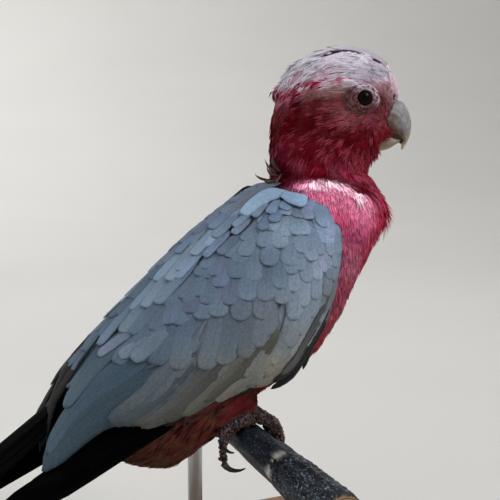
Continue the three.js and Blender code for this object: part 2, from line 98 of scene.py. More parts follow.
def fractal_at(points, scale, octaves, dimension=1.0, lacunarity=2.0):
    """Noise with finer noise in it."""
    places = [Vector(point * scale) for point in points]
    return np.array([noise.fractal(place, dimension, lacunarity, octaves) for place in places])


def through(rows, t):
    """Points on a smooth curve through evenly spaced rows, at t in rows from the first."""
    rows = np.asarray(rows, float)
    t = np.asarray(t, float)
    first = np.clip(np.floor(t).astype(int), 0, len(rows) - 2)
    part = (t - first)[..., None]
    a, b = rows[first], rows[first + 1]
    before = np.where((first > 0)[..., None], rows[first - 1], 2 * a - b)
    next_row = rows[np.minimum(first + 2, len(rows) - 1)]
    after = np.where((first < len(rows) - 2)[..., None], next_row, 2 * b - a)
    inside = np.clip(part, 0, 1)
    spline = 0.5 * (
        2 * a
        + (b - before) * inside
        + (2 * before - 5 * a + 4 * b - after) * inside**2
        + (3 * a - before - 3 * b + after) * inside**3
    )
    return spline + (part - inside) * (b - a)


def linear(red, green, blue):
    """A colour in linear light from its usual 0 to 255 values."""
    share = np.array([red, green, blue]) / 255
    return np.where(share <= 0.04045, share / 12.92, ((share + 0.055) / 1.055) ** 2.4)


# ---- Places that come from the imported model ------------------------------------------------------


def middle_of(node):
    """The middle of a CAD node's box, in the model's metres."""
    low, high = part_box(node)
    return np.array((low + high) / 2)


ORIGIN = np.array([0, 0, round(middle_of("perch")[2], 3)])


def placed(point):
    """A point of the bird's frame from one of the model's, which is in metres."""
    return (np.asarray(point) - ORIGIN) / MM


def to_model(points):
    """The opposite of placed()."""
    return np.asarray(points) * MM + ORIGIN


EYES = {name: placed(middle_of(f"eye_{name}")) for name in SIDES}
LEFTWARD = unit(EYES["left"] - EYES["right"])
FORWARD = unit(np.cross(LEFTWARD, [0, 0, 1]))
UPWARD = np.cross(FORWARD, LEFTWARD)
EYE_AHEAD, EYE_UP = -2.4, -0.8  # where the middle between the eyes is in the head's frame
HEAD_CENTRE = (EYES["left"] + EYES["right"]) / 2 - EYE_AHEAD * FORWARD - EYE_UP * UPWARD
EYE_RADIUS = (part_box("eye_left")[1].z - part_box("eye_left")[0].z) / 2 / MM
EYE_TURN = math.radians(15)  # how far the eyes face forward


def on_head(points):
    """Points of the bird's frame from the head's."""
    points = np.asarray(points, float)
    return HEAD_CENTRE + points[..., 0:1] * FORWARD + points[..., 1:2] * LEFTWARD + points[..., 2:3] * UPWARD


def in_head(points):
    """Points of the head's frame from the bird's."""
    offset = np.asarray(points, float) - HEAD_CENTRE
    return np.stack([offset @ FORWARD, offset @ LEFTWARD, offset @ UPWARD], axis=-1)


def eye_axis(side):
    """The way that an eye faces."""
    return math.sin(EYE_TURN) * FORWARD + side * math.cos(EYE_TURN) * LEFTWARD


def node_mesh(name):
    """A CAD node's points and triangles, with the points that share a place joined."""
    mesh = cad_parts[name].data
    mesh.calc_loop_triangles()
    points = np.empty(3 * len(mesh.vertices), np.float32)
    triangles = np.empty(3 * len(mesh.loop_triangles), np.int32)
    mesh.vertices.foreach_get("co", points)
    mesh.loop_triangles.foreach_get("vertices", triangles)
    points = placed(points.reshape(-1, 3))
    _, first, same = np.unique(np.round(points, 3), axis=0, return_index=True, return_inverse=True)
    triangles = same.reshape(-1)[triangles.reshape(-1, 3)]
    distinct = (triangles != np.roll(triangles, 1, axis=1)).all(axis=1)
    return points[first], triangles[distinct]


# ---- Meshes ----------------------------------------------------------------------------------------


def normals_of(points, faces):
    """A normal for each point, from triangles or quads."""
    normals = np.zeros_like(points)
    corners = points[faces]
    across = corners[:, 2] - corners[:, 0]
    along = corners[:, -1] - corners[:, 1] if faces.shape[1] == 4 else corners[:, 1] - corners[:, 0]
    facing = np.cross(across, along) if faces.shape[1] == 4 else np.cross(along, across)
    for corner in range(faces.shape[1]):
        for axis in range(3):
            normals[:, axis] += np.bincount(faces[:, corner], facing[:, axis], len(points))
    return unit(normals)


def smoothed(points, faces, rounds, weight=1.0):
    """Points moved towards their neighbours' middle and back, which evens facets but keeps the size."""
    start, end = np.concatenate([faces, np.roll(faces, 1, axis=1)]).reshape(2, -1)
    count = np.bincount(start, minlength=len(points)) + np.bincount(end, minlength=len(points))
    for _ in range(rounds):
        for step in (0.6, -0.62):
            total = np.zeros_like(points)
            for axis in range(3):
                total[:, axis] = np.bincount(start, points[end, axis], len(points))
                total[:, axis] += np.bincount(end, points[start, axis], len(points))
            points = points + (step * weight) * (total / count[:, None] - points)
    return points


def new_object(name, points, faces):
    """An object from points in millimetres and a list of arrays of faces, in the model's metres."""
    mesh = bpy.data.meshes.new(name)
    mesh.vertices.add(len(points))
    mesh.vertices.foreach_set("co", to_model(points).astype(np.float32).ravel())
    sizes = np.concatenate([np.full(len(part), part.shape[1]) for part in faces])
    loops = np.concatenate([part.ravel() for part in faces])
    mesh.loops.add(len(loops))
    mesh.loops.foreach_set("vertex_index", loops.astype(np.int32))
    mesh.polygons.add(len(sizes))
    mesh.polygons.foreach_set("loop_start", np.concatenate([[0], np.cumsum(sizes)[:-1]]).astype(np.int32))
    mesh.polygons.foreach_set("use_smooth", np.ones(len(sizes), bool))
    mesh.update(calc_edges=True)
    mesh.validate()
    piece = bpy.data.objects.new(name, mesh)
    bpy.context.scene.collection.objects.link(piece)
    return piece


def set_uv(piece, name, values):
    """A UV map from one pair of values for each point."""
    mesh = piece.data
    layer = mesh.uv_layers.new(name=name)
    corners = np.empty(len(mesh.loops), np.int32)
    mesh.loops.foreach_get("vertex_index", corners)
    layer.data.foreach_set("uv", np.asarray(values, np.float32)[corners].ravel())


def set_colour(piece, name, values):
    """A colour for each point, as an attribute that a material reads."""
    layer = piece.data.attributes.new(name, "FLOAT_COLOR", "POINT")
    with_alpha = np.concatenate([values, np.ones((len(values), 1))], axis=1)
    layer.data.foreach_set("color", with_alpha.astype(np.float32).ravel())


def set_value(piece, name, values):
    """A number for each point, as an attribute that a material reads."""
    piece.data.attributes.new(name, "FLOAT", "POINT").data.foreach_set("value", values.astype(np.float32))


def finished(piece, material, slot, *nodes):
    """Gives a piece its material, hangs it under the frame's root and hides the CAD nodes that it replaces.
    The slot is not used.
    """
    piece.data.materials.append(material)
    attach(piece, "root")
    if nodes:
        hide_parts(*nodes)


def joined(parts):
    """Several meshes of the same kind of face as one."""
    points, faces, total = [], [], 0
    for part_points, part_faces in parts:
        points.append(part_points)
        faces.append(part_faces + total)
        total += len(part_points)
    return np.concatenate(points), np.concatenate(faces)


def grid_quads(rows, columns):
    """The faces of a grid of points."""
    grid = np.arange(rows * columns).reshape(rows, columns)
    return np.stack([grid[:-1, :-1], grid[:-1, 1:], grid[1:, 1:], grid[1:, :-1]], axis=-1).reshape(-1, 4)


def plate_faces(rows, columns):
    """The faces of a closed plate, whose points are an outer grid and then an inner one."""
    grid = np.arange(rows * columns).reshape(rows, columns)
    outer = grid_quads(rows, columns)
    rim = np.concatenate([grid[0], grid[1:, -1], grid[-1, -2::-1], grid[-2:0:-1, 0]])
    after = np.roll(rim, -1)
    side = np.stack([after, rim, rim + grid.size, after + grid.size], axis=-1)
    return np.concatenate([outer, outer[:, ::-1] + grid.size, side])


def remeshed(parts, voxel, grow):
    """One even surface of quads round some closed meshes, each grown a little so that they join."""
    points, faces = joined([(points + grow * normals_of(points, faces), faces) for points, faces in parts])
    mesh = bpy.data.meshes.new("remesh")
    mesh.from_pydata(points.tolist(), [], faces.tolist())
    piece = bpy.data.objects.new("remesh", mesh)
    bpy.context.scene.collection.objects.link(piece)
    modifier = piece.modifiers.new("remesh", "REMESH")
    modifier.mode = "VOXEL"
    modifier.voxel_size = voxel
    result = piece.evaluated_get(bpy.context.evaluated_depsgraph_get()).to_mesh()
    new_points = np.empty(3 * len(result.vertices), np.float32)
    corners = np.empty(len(result.loops), np.int32)
    result.vertices.foreach_get("co", new_points)
    result.loops.foreach_get("vertex_index", corners)
    piece.to_mesh_clear()
    bpy.data.objects.remove(piece)
    bpy.data.meshes.remove(mesh)
    return new_points.reshape(-1, 3).astype(float), corners.reshape(-1, 4)


def tree_of(points, faces):
    return BVHTree.FromPolygons(points.tolist(), faces.tolist())


# ---- Materials -------------------------------------------------------------------------------------


class Nodes:
    """A short way to write a material's nodes."""

    def __init__(self, name, **settings):
        self.material = bpy.data.materials.new(name)
        self.material.use_nodes = True
        self.tree = self.material.node_tree
        self.shader = self.tree.nodes["Principled BSDF"]
        for socket, value in settings.items():
            self.shader.inputs[socket.replace("_", " ")].default_value = value

    def add(self, kind, inputs=None, **properties):
        node = self.tree.nodes.new(kind)
        for key, value in properties.items():
            setattr(node, key, value)
        for socket, value in (inputs or {}).items():
            self.join(value, node.inputs[socket])
        return node

    def join(self, value, socket):
        if isinstance(value, bpy.types.NodeSocket):
            self.tree.links.new(value, socket)
        elif socket.type == "RGBA" and len(value) == 3:
            socket.default_value = (*value, 1)
        else:
            socket.default_value = value

    def maths(self, operation, a, b=0.0):
        return self.add("ShaderNodeMath", {0: a, 1: b}, operation=operation).outputs[0]

    def mix(self, share, a, b, kind="MIX"):
        node = self.add("ShaderNodeMix", data_type="RGBA", blend_type=kind)
        self.join(share, node.inputs[0])
        self.join(a, node.inputs[6])
        self.join(b, node.inputs[7])
        return node.outputs[2]

    def noise(self, scale, detail, roughness=0.5, vector=None):
        inputs = {"Scale": scale, "Detail": detail, "Roughness": roughness}
        if vector is not None:
            inputs["Vector"] = vector
        return self.add("ShaderNodeTexNoise", inputs).outputs["Fac"]

    def stretched(self, *scale):
        """Positions in the model, scaled by different amounts along its axes."""
        vector = self.add("ShaderNodeTexCoord").outputs["Object"]
        return self.add("ShaderNodeMapping", {"Vector": vector, "Scale": scale}).outputs["Vector"]

    def between(self, value, low, high, to_low=0.0, to_high=1.0):
        inputs = {"Value": value, "From Min": low, "From Max": high, "To Min": to_low, "To Max": to_high}
        return self.add("ShaderNodeMapRange", inputs).outputs["Result"]

    def attribute(self, name, output="Fac"):
        return self.add("ShaderNodeAttribute", attribute_name=name).outputs[output]

    def product(self, *values):
        result = values[0]
        for value in values[1:]:
            result = self.maths("MULTIPLY", result, value)
        return result

    def shaded_markings(self, shade):
        """The piece's own markings, lighter or darker by a shade."""
        grey = self.add("ShaderNodeCombineColor", {0: shade, 1: shade, 2: shade}).outputs[0]
        return self.mix(1.0, self.attribute("markings", "Color"), grey, "MULTIPLY")

    def cloud(self, scale, detail, low, high, roughness=0.5):
        """A noise that runs between two values."""
        return self.between(self.noise(scale, detail, roughness), 0.3, 0.7, low, high)

    def finish(self, colour, roughness=None, bump=None, distance=0.1):
        """Joins what is given to the shader. The distance is how high the bump is, in millimetres."""
        self.join(colour, self.shader.inputs["Base Color"])
        if roughness is not None:
            self.join(roughness, self.shader.inputs["Roughness"])
        if bump is not None:
            inputs = {"Height": bump, "Distance": distance * MM, "Strength": 1.0}
            node = self.add("ShaderNodeBump", inputs)
            self.join(node.outputs["Normal"], self.shader.inputs["Normal"])
        return self.material


def coat_material():
    """Loose feather strands: their markings, uneven from one to the next."""
    n = Nodes("body_feathers", Roughness=0.8, Specular_IOR_Level=0.04)
    shade = n.product(n.cloud(120, 2, 0.78, 1.2), n.cloud(1400, 2, 0.85, 1.15))
    return n.finish(n.shaded_markings(shade))


def vane_material(name, roughness, barbs, shine, shadow_line_tone=0.7):
    """Closed vanes: fine barbs that leave the shaft at a slant, and a thin dark line round the tip, which is
    a painted shadow like the one a lifted tip casts on the feather below.
    """
    n = Nodes(name, Roughness=roughness, Specular_IOR_Level=shine)
    place = n.add("ShaderNodeUVMap", uv_map="Vane").outputs["UV"]
    part = n.add("ShaderNodeSeparateXYZ", {0: place}).outputs
    aside = n.maths("ABSOLUTE", n.maths("SUBTRACT", part[0], 0.5))
    slant = n.maths("SUBTRACT", n.product(part[1], n.attribute("span")), n.product(aside, 9.0))
    uneven = n.product(n.noise(260, 3), 9.0)
    rows = n.maths("SINE", n.maths("ADD", n.product(slant, 7.5), uneven))
    shaft = n.between(aside, 0.0, 0.03, 1.0, 0.0)
    # Painted shadow: a thin dark line round the tip and along its sides.
    edge = n.product(n.between(aside, 0.4, 0.5), n.between(part[1], 0.55, 0.9, 0.25, 1.0))
    painted_shadow_line = n.maths("MAXIMUM", edge, n.between(part[1], 0.955, 0.995))
    shade = n.product(
        n.cloud(110, 4, 0.82, 1.15),
        n.cloud(700, 3, 0.94, 1.07),
        n.between(rows, -1, 1, 1 - barbs, 1 + barbs),
        n.between(shaft, 0, 1, 1.0, 0.84),
        # Darker at the base and paler at the tip: painted shade where the next feather lies over the base,
        # and at the tip partly pale fringes, partly painted highlight.
        n.between(part[1], 0.45, 0.95, 0.84, 1.09),
        n.between(painted_shadow_line, 0, 1, 1.0, shadow_line_tone),
    )
    height = n.maths("ADD", n.product(rows, 0.3), n.product(shaft, 0.8))
    return n.finish(n.shaded_markings(shade), bump=height, distance=0.08)


def down_material():
    """The grey down and closed bases of feathers that show in the gaps of the wing."""
    n = Nodes("under_down", Roughness=0.9, Specular_IOR_Level=0.1)
    fluff = n.noise(900, 4, 0.6, n.stretched(1, 1, 0.3))
    colour = n.mix(n.between(fluff, 0.3, 0.7), linear(92, 100, 110), linear(146, 156, 168))
    return n.finish(colour, bump=fluff, distance=0.3)


def skin_material():
    """Skin with the coat's markings, darker, wrinkled where it is bare and pebbled on the feet."""
    n = Nodes("skin", Roughness=0.65, Specular_IOR_Level=0.25)
    markings = n.attribute("markings", "Color")
    bare = n.attribute("bare")
    scaled = n.attribute("scaled")
    cell = n.add("ShaderNodeTexVoronoi", {"Scale": 900.0}, feature="DISTANCE_TO_EDGE").outputs["Distance"]
    pebble = n.between(cell, 0.0, 0.18)
    pores = n.noise(2200, 3)
    wrinkles = n.noise(900, 4, 0.6, n.stretched(1, 1, 2.5))
    height = n.maths("ADD", n.product(pebble, scaled), n.product(wrinkles, bare))
    height = n.maths("ADD", height, n.product(pores, 0.3))
    ruddy = n.mix(0.35, markings, linear(150, 96, 104))
    mottled = n.mix(n.between(n.noise(420, 4), 0.35, 0.65), markings, ruddy)
    colour = n.mix(bare, markings, mottled)
    return n.finish(colour, bump=height, distance=0.22)


def horn_material(name, roughness):
    """Horn in its own markings, cloudy, with fine growth lines."""
    n = Nodes(name, Roughness=roughness, Coat_Weight=0.2, Coat_Roughness=0.3)
    colour = n.shaded_markings(n.product(n.cloud(420, 5, 0.72, 1.25, 0.6), n.cloud(1800, 3, 0.88, 1.1, 0.6)))
    lines = n.noise(700, 4, 0.65, n.stretched(1, 1, 3.0))
    return n.finish(colour, n.between(lines, 0.3, 0.7, roughness - 0.08, roughness + 0.18), lines, 0.08)


def eye_material():
    """A black pupil in a very dark brown iris, under a wet surface."""
    n = Nodes("eye", Roughness=0.03, Specular_IOR_Level=0.05)
    angle = n.attribute("from_pupil")
    fibres = n.cloud(1500, 3, 0.5, 1.3)
    brown = {channel: n.product(fibres, amount) for channel, amount in enumerate((0.012, 0.005, 0.004))}
    iris = n.add("ShaderNodeCombineColor", brown).outputs[0]
    return n.finish(n.mix(n.between(angle, 0.4, 0.46), (0.002, 0.002, 0.002), iris))


def scale_material():
    """Small horny scales in their own markings, cloudy."""
    n = Nodes("scales", Roughness=0.55)
    colour = n.shaded_markings(n.cloud(1300, 4, 0.6, 1.4))
    return n.finish(colour, bump=n.noise(2500, 3), distance=0.06)


def bark_material():
    """Dark weathered wood with fine pale specks and a scuffed band, and sawn ends with growth rings."""
    n = Nodes("bark", Roughness=0.6, Specular_IOR_Level=0.3)
    grain = n.noise(420, 6, 0.65, n.stretched(1, 0.16, 1))
    specks = n.between(n.noise(1100, 3, 0.7, n.stretched(1, 0.6, 1)), 0.57, 0.66)
    patches = n.between(n.noise(90, 3), 0.42, 0.6)
    scuffs = n.product(specks, n.maths("MAXIMUM", patches, n.attribute("rough")))
    base = n.mix(n.between(grain, 0.35, 0.65), linear(9, 12, 17), linear(36, 46, 60))
    colour = n.mix(scuffs, base, linear(140, 150, 160))
    rubbed = n.mix(n.between(n.noise(500, 4), 0.35, 0.6), linear(120, 120, 116), linear(228, 226, 214))
    colour = n.mix(n.attribute("worn"), colour, rubbed)
    from_pith = {0: n.stretched(1, 0, 1), 1: (0, 0, float(ORIGIN[2]))}
    from_pith = n.add("ShaderNodeVectorMath", from_pith, operation="SUBTRACT").outputs[0]
    rings = {"Vector": from_pith, "Scale": 260.0, "Distortion": 1.6, "Detail": 2.0}
    rings = n.add("ShaderNodeTexWave", rings, wave_type="RINGS", rings_direction="Y").outputs["Fac"]
    wood = n.mix(rings, linear(112, 86, 58), linear(168, 138, 98))
    colour = n.mix(n.attribute("sawn"), colour, wood)
    return n.finish(colour, n.between(grain, 0.3, 0.7, 0.28, 0.6), grain, 0.35)


def board_material():
    """Satin hardwood with its grain along the board."""
    n = Nodes("base_wood", Roughness=0.4, Coat_Weight=0.25, Coat_Roughness=0.25)
    along = n.stretched(1.0, 0.07, 1.0)
    figure = n.noise(70, 6, 0.6, along)
    pores = n.noise(900, 3, 0.7, n.stretched(1.0, 0.03, 1.0))
    base = n.mix(n.between(figure, 0.35, 0.65), linear(84, 50, 30), linear(146, 98, 62))
    colour = n.mix(n.between(pores, 0.55, 0.7, 0.0, 0.6), base, linear(52, 30, 20))
    return n.finish(colour, n.between(pores, 0.4, 0.7, 0.32, 0.55), pores, 0.04)


def steel_material():
    """Steel brushed along the rod."""
    n = Nodes("rod_steel", Metallic=1.0, Roughness=0.3)
    brushed = n.noise(900, 4, 0.6, n.stretched(1.0, 1.0, 0.02))
    colour = n.mix(brushed, linear(150, 152, 156), linear(196, 198, 200))
    return n.finish(colour, n.between(brushed, 0.3, 0.7, 0.24, 0.42), brushed, 0.02)


# ---- Plumage: its colours and lie at chosen places ---------------------------------------------------
# Between the places the values blend. Each row has a place, on the left side, the way that its feathers
# lie, a colour, the strands' length and width, and how far the tips stand over the roots.

HEAD_PLUMAGE = [
    # place (head's frame)  lie                  colour                length width lift
    ((14, 3, 5), (-0.5, 0.1, 0.85), (250, 222, 236), 3.2, 0.36, 0.35),
    ((10, 8, 2), (-0.8, 0.4, 0.4), (196, 150, 158), 3, 0.36, 0.35),
    ((9, 10, -1), (-0.9, 0.4, 0.0), (130, 72, 74), 3, 0.36, 0.35),
    ((9, 8, -7), (-0.8, 0.4, -0.4), (142, 68, 72), 3.4, 0.4, 0.4),
    ((9, 7, 11), (-0.8, 0.05, 0.6), (264, 248, 272), 6, 0.6, 0.4),
    ((2, 7, 18), (-0.95, 0.03, 0.25), (246, 242, 254), 10, 0.9, 0.4),
    ((-10, 6, 20), (-1, 0, 0), (236, 230, 246), 15, 1.2, 0.6),
    ((-21, 5, 17), (-0.95, 0, -0.3), (238, 234, 248), 17, 1.3, 0.7),
    ((-31, 4, 13), (-0.85, 0, -0.5), (240, 236, 248), 15, 1.2, 0.8),
    ((-5, 12, 14), (-0.98, 0.1, 0.1), (240, 230, 246), 11, 0.8, 0.5),
    ((-8, 14, 10), (-1, 0.1, 0), (242, 228, 244), 11, 0.8, 0.6),
    ((-15, 15.5, 7.5), (-0.99, 0.05, -0.08), (228, 200, 216), 11, 0.8, 0.8),
    ((-27, 14, 5.5), (-0.95, 0, -0.3), (190, 128, 148), 10, 0.7, 0.9),
    ((-35, 5, 9), (-0.8, 0, -0.6), (200, 130, 152), 12, 0.8, 1),
    ((-38, 8, -1), (-0.6, 0, -0.8), (112, 40, 50), 11, 0.7, 1.1),
    ((-12, 17, 3.5), (-0.99, 0.1, -0.1), (168, 130, 130), 8, 0.6, 0.5),
    ((-12, 17.5, -1), (-0.99, 0.1, -0.15), (128, 66, 68), 7, 0.5, 0.5),
    ((-20, 17.5, 2.5), (-0.98, 0, -0.15), (160, 110, 112), 9, 0.65, 0.8),
    ((-20, 18, -2), (-0.98, 0, -0.2), (112, 34, 40), 9, 0.55, 0.8),
    ((-29, 15.5, -2), (-0.95, 0, -0.3), (96, 4, 14), 9, 0.55, 1),
    ((-31, 16, -11), (-0.96, 0, -0.25), (98, 2, 12), 10, 0.55, 1),
    ((-44, 3, -8), (-0.5, 0, -0.87), (84, 0, 8), 11, 0.6, 1.8),
    ((-20, 18.5, -11), (-0.96, 0, -0.25), (98, 10, 22), 9, 0.55, 0.9),
    ((-7, 16, -9), (-0.96, 0.1, -0.22), (166, 94, 102), 7, 0.45, 0.5),
    ((-14, 18, -13), (-0.96, 0.1, -0.3), (108, 26, 36), 8, 0.5, 0.8),
    ((-6, 16, -17), (-0.8, 0.1, -0.5), (100, 6, 20), 8, 0.5, 0.8),
    ((1.5, 13, -9), (-0.93, 0.3, -0.2), (158, 84, 96), 5, 0.4, 0.4),
    ((1, 13, -13.5), (-0.8, 0.2, -0.5), (112, 20, 34), 6, 0.45, 0.6),
    ((5, 12, -5), (-0.8, 0.5, -0.3), (134, 62, 68), 3.6, 0.4, 0.4),
    ((-31.5, 17, -20), (-0.87, 0, -0.5), (132, 28, 48), 10, 0.6, 1.2),
    ((-44, 3, -22), (-0.35, 0, -0.94), (84, 0, 8), 11, 0.6, 2.2),
    ((-22, 19, -22), (-0.83, 0, -0.55), (120, 16, 34), 10, 0.6, 1.1),
    ((-10, 16.5, -22), (-0.7, 0, -0.7), (116, 10, 28), 9, 0.6, 1),
    ((0, 12, -19), (-0.5, 0.1, -0.86), (128, 20, 38), 8, 0.55, 0.9),
    ((5, 9, -16), (0.55, -0.15, -0.8), (154, 40, 56), 8, 0.5, 2.6),
    ((9, 8, -17), (0.7, -0.1, -0.65), (162, 42, 60), 7, 0.5, 4.2),
    ((8, 5, -21), (0.65, -0.1, -0.7), (164, 42, 60), 7, 0.5, 4.4),
    ((7, 3, -26), (0.4, -0.1, -0.9), (154, 40, 60), 7, 0.5, 2.0),
    ((3, 3, -31), (0.1, 0, -1), (166, 48, 70), 8, 0.55, 1.8),
    ((-2, 11, -28), (-0.2, 0, -1), (164, 58, 74), 8, 0.55, 1.2),
    ((-36, 15.6, -31), (-0.5, 0, -0.86), (94, 0, 8), 10, 0.6, 1.6),
    ((-22, 19.6, -31.5), (-0.45, 0, -0.9), (154, 16, 44), 10, 0.6, 1.3),
    ((-10, 16, -34), (-0.2, 0, -0.98), (176, 50, 84), 10, 0.6, 1.3),
]
BODY_PLUMAGE = [
    # place (bird's frame)
    ((22, 5, 122), (-0.4, 0.1, -0.9), (96, 10, 20), 11, 0.6, 1.6),
    ((24, 12, 119), (-0.3, 0.2, -0.92), (118, 16, 36), 10, 0.6, 1.3),
    ((38, 17, 121), (-0.1, 0.2, -0.95), (124, 10, 30), 9, 0.6, 0.9),
    # The collar's pale rows, some over 255, are partly painted highlight on the top of the breast.
    ((28, 14, 115), (-0.2, 0.35, -0.9), (262, 146, 202), 9, 0.6, 2.4),
    ((36, 18, 115), (-0.1, 0.4, -0.9), (272, 158, 206), 9, 0.6, 2.6),
    ((43, 20, 116), (0.05, 0.4, -0.9), (290, 236, 262), 8, 0.6, 2.6),
    ((50, 21, 113), (0.1, 0.4, -0.9), (282, 206, 232), 9, 0.6, 2.4),
    ((55, 19, 115), (0.1, 0.2, -0.95), (170, 56, 84), 10, 0.6, 1.6),
    ((34, 20, 109), (-0.1, 0.2, -0.97), (250, 126, 172), 11, 0.6, 1.6),
    ((42, 24, 107), (-0.1, 0.2, -0.97), (236, 104, 148), 11, 0.6, 1.5),
    ((56, 24, 107), (0.05, 0.1, -1), (210, 78, 120), 12, 0.6, 1.6),
    ((66, 19, 105), (0.1, 0.1, -1), (208, 66, 102), 13, 0.6, 2),
    ((75, 4, 104), (0.05, 0, -1), (214, 84, 108), 14, 0.65, 2.3),
    ((77, 6, 99), (0.25, 0, -0.96), (190, 60, 84), 15, 0.6, 4.6),
    ((48, 28, 98), (-0.15, 0.1, -0.98), (214, 102, 144), 12, 0.6, 1.5),
    ((60, 24, 91), (-0.1, 0, -1), (190, 74, 98), 13, 0.6, 1.8),
    ((74, 5, 88), (-0.1, 0, -1), (184, 64, 88), 14, 0.6, 2),
    ((48, 29, 85), (-0.25, 0.1, -0.95), (212, 122, 152), 12, 0.6, 1.5),
    ((46, 27, 74), (-0.3, 0, -0.95), (186, 94, 114), 12, 0.6, 1.5),
    ((62, 6, 70), (-0.35, 0, -0.93), (176, 62, 82), 13, 0.6, 1.7),
    ((42, 25, 61), (-0.45, 0, -0.88), (178, 88, 102), 12, 0.6, 1.5),
    ((48, 5, 48), (-0.6, 0, -0.8), (164, 60, 76), 12, 0.6, 1.6),
    ((32, 25, 46), (-0.5, 0, -0.85), (182, 70, 84), 12, 0.6, 1.5),
    ((28, 5, 28), (-0.75, 0, -0.65), (134, 46, 56), 12, 0.6, 1.5),
    ((8, 20, 30), (-0.6, 0, -0.8), (122, 40, 46), 7, 0.6, 1.0),
    ((3, 20, 24), (-0.5, 0, -0.86), (96, 46, 40), 4.5, 0.55, 0.6),
    ((-8, 20, 24), (-0.8, 0, -0.6), (96, 46, 42), 5, 0.55, 0.7),
    ((-7, 25, 21), (-0.7, 0, -0.7), (132, 46, 50), 11, 0.6, 1.4),
    ((-15, 22, 14), (-0.7, 0, -0.75), (124, 54, 52), 12, 0.6, 1.6),
    ((-10, 8, 2), (-0.9, 0, -0.4), (96, 54, 48), 13, 0.6, 1.8),
    ((-28, 20, 8), (-0.6, 0, -0.8), (104, 64, 54), 13, 0.65, 1.8),
    ((-31, 12, -6), (-0.6, 0, -0.8), (92, 62, 50), 14, 0.7, 2.2),
    ((-38, 3, -11), (-0.8, 0, -0.5), (88, 56, 46), 14, 0.7, 2.6),
    ((-55, 6, -4), (-0.8, 0, -0.5), (66, 44, 38), 13, 0.8, 1.6),
    # The rump's near black is painted shadow in the gap under the wings; its own feathers are pale grey.
    ((-66, 5, 16), (-0.9, 0, -0.4), (34, 33, 36), 12, 0.9, 1.4),
    ((-40, 6, 50), (-0.75, 0, -0.6), (142, 148, 158), 13, 1, 1.4),
    ((0, 5, 94), (-0.6, 0, -0.75), (118, 126, 140), 12, 1.0, 1.4),
    ((17, 5, 114), (-0.75, 0, -0.65), (112, 100, 106), 11, 0.5, 5.0),
    ((10, 4, 108), (-0.6, 0, -0.8), (120, 126, 136), 12, 0.6, 4.6),
    ((10, 12, 109), (-0.45, 0.2, -0.85), (128, 136, 150), 11, 0.8, 1.5),
]
PLUMAGE_SHARPNESS = 5  # the power with which a place's say falls off


def plumage_table():
    """The rows for both sides, all in the bird's frame."""
    rows = []
    for side in SIDES.values():
        flip = np.array([1.0, side, 1])
        rows += [(on_head(at * flip), in_bird_way(lie * flip), *rest) for at, lie, *rest in HEAD_PLUMAGE]
        rows += [(at * flip, lie * flip, *rest) for at, lie, *rest in BODY_PLUMAGE]
    return {
        "at": np.array([row[0] for row in rows]),
        "lie": unit([row[1] for row in rows]),
        "colour": np.array([linear(*row[2]) for row in rows]),
        "sizes": np.array([row[3:] for row in rows], float),
    }


def in_bird_way(way):
    """A direction of the bird's frame from the head's."""
    return way[0] * FORWARD + way[1] * LEFTWARD + way[2] * UPWARD


PLUMAGE = plumage_table()


def plumage_at(points, *keys):
    """The blended values of the plumage at some points."""
    blended = {key: [] for key in keys}
    for chunk in np.array_split(points, max(1, len(points) // 4000)):
        distance = np.linalg.norm(chunk[:, None] - PLUMAGE["at"], axis=2) + 1.0
        say = distance**-PLUMAGE_SHARPNESS
        say /= say.sum(axis=1, keepdims=True)
        for key in keys:
            blended[key].append(say @ PLUMAGE[key])
    values = [np.concatenate(blended[key]) for key in keys]
    return values[0] if len(keys) == 1 else values


# ---- Skin --------------------------------------------------------------------------------------------

FACE = (12, 0, -4)  # the middle of the face in the head's frame
TOES = [f"{place}_{row}" for row in ("front", "back") for place in ("inner", "outer")]
FLESH = ["trunk", "neck", "head", "crest"]
for side in SIDES:
    FLESH += [f"leg_{side}", f"foot_{side}", f"eye_ring_{side}"]
    FLESH += [f"toe_{side}_{toe}" for toe in TOES]
SKIN_VOXEL = 0.9
SKIN_GROWTH = 0.3  # joins solids that stand a small gap apart
# Painted shade: the skin under the feathers is darker than they are, so that the gaps between them read as
# shade.
SKIN_PAINTED_SHADE = 0.55  # how dark the skin is beside its feathers


def coat_depth(points):
    """How far the skin lies under the feathers' outline."""
    head = in_head(points)
    depth = np.full(len(points), 2.3)
    face = smoothstep(26, 8, np.linalg.norm(head - FACE, axis=1))
    depth += face * (0.8 - depth)
    crown = smoothstep(8, 16, head[:, 2]) * (1 - face)
    depth += crown * (1.8 - depth)
    feet = by_the_branch(points) * smoothstep(9, 12, np.abs(points[:, 1]))
    depth += feet * (0.35 - depth)
    return depth


def by_the_branch(points):
    """1 on the feet and whatever else is as low and as near the branch, 0 elsewhere."""
    return smoothstep(24, 15, points[:, 2]) * smoothstep(19, 14, np.abs(points[:, 0]))


def make_skin():
    """One surface round the flesh and the eyes, sunk under the outline of the feathers."""
    parts = [node_mesh(name) for name in FLESH] + [node_mesh(f"eye_{side}") for side in SIDES]
    points, faces = remeshed(parts, SKIN_VOXEL, SKIN_GROWTH)
    points = smoothed(points, faces, 24, (1 - 0.85 * by_the_branch(points))[:, None])
    normals = normals_of(points, faces)
    points = points - normals * (coat_depth(points) + SKIN_GROWTH)[:, None]
    return smoothed(points, faces, 4, 0.5), faces


# The bare ring round the eye, from the ball outwards: the distance from the eye's axis, and the height
# over the ball's middle.
LID = np.array([(0, 1.5), (3.0, 2.1), (3.25, 3.2), (3.5, 3.75), (4.0, 4.05), (5.2, 4.1), (6.6, 3.4),
                (7.6, 2.3), (8.3, 1.3)])
RING_FADE = 9.6  # where the ring has run out into the feathered skin


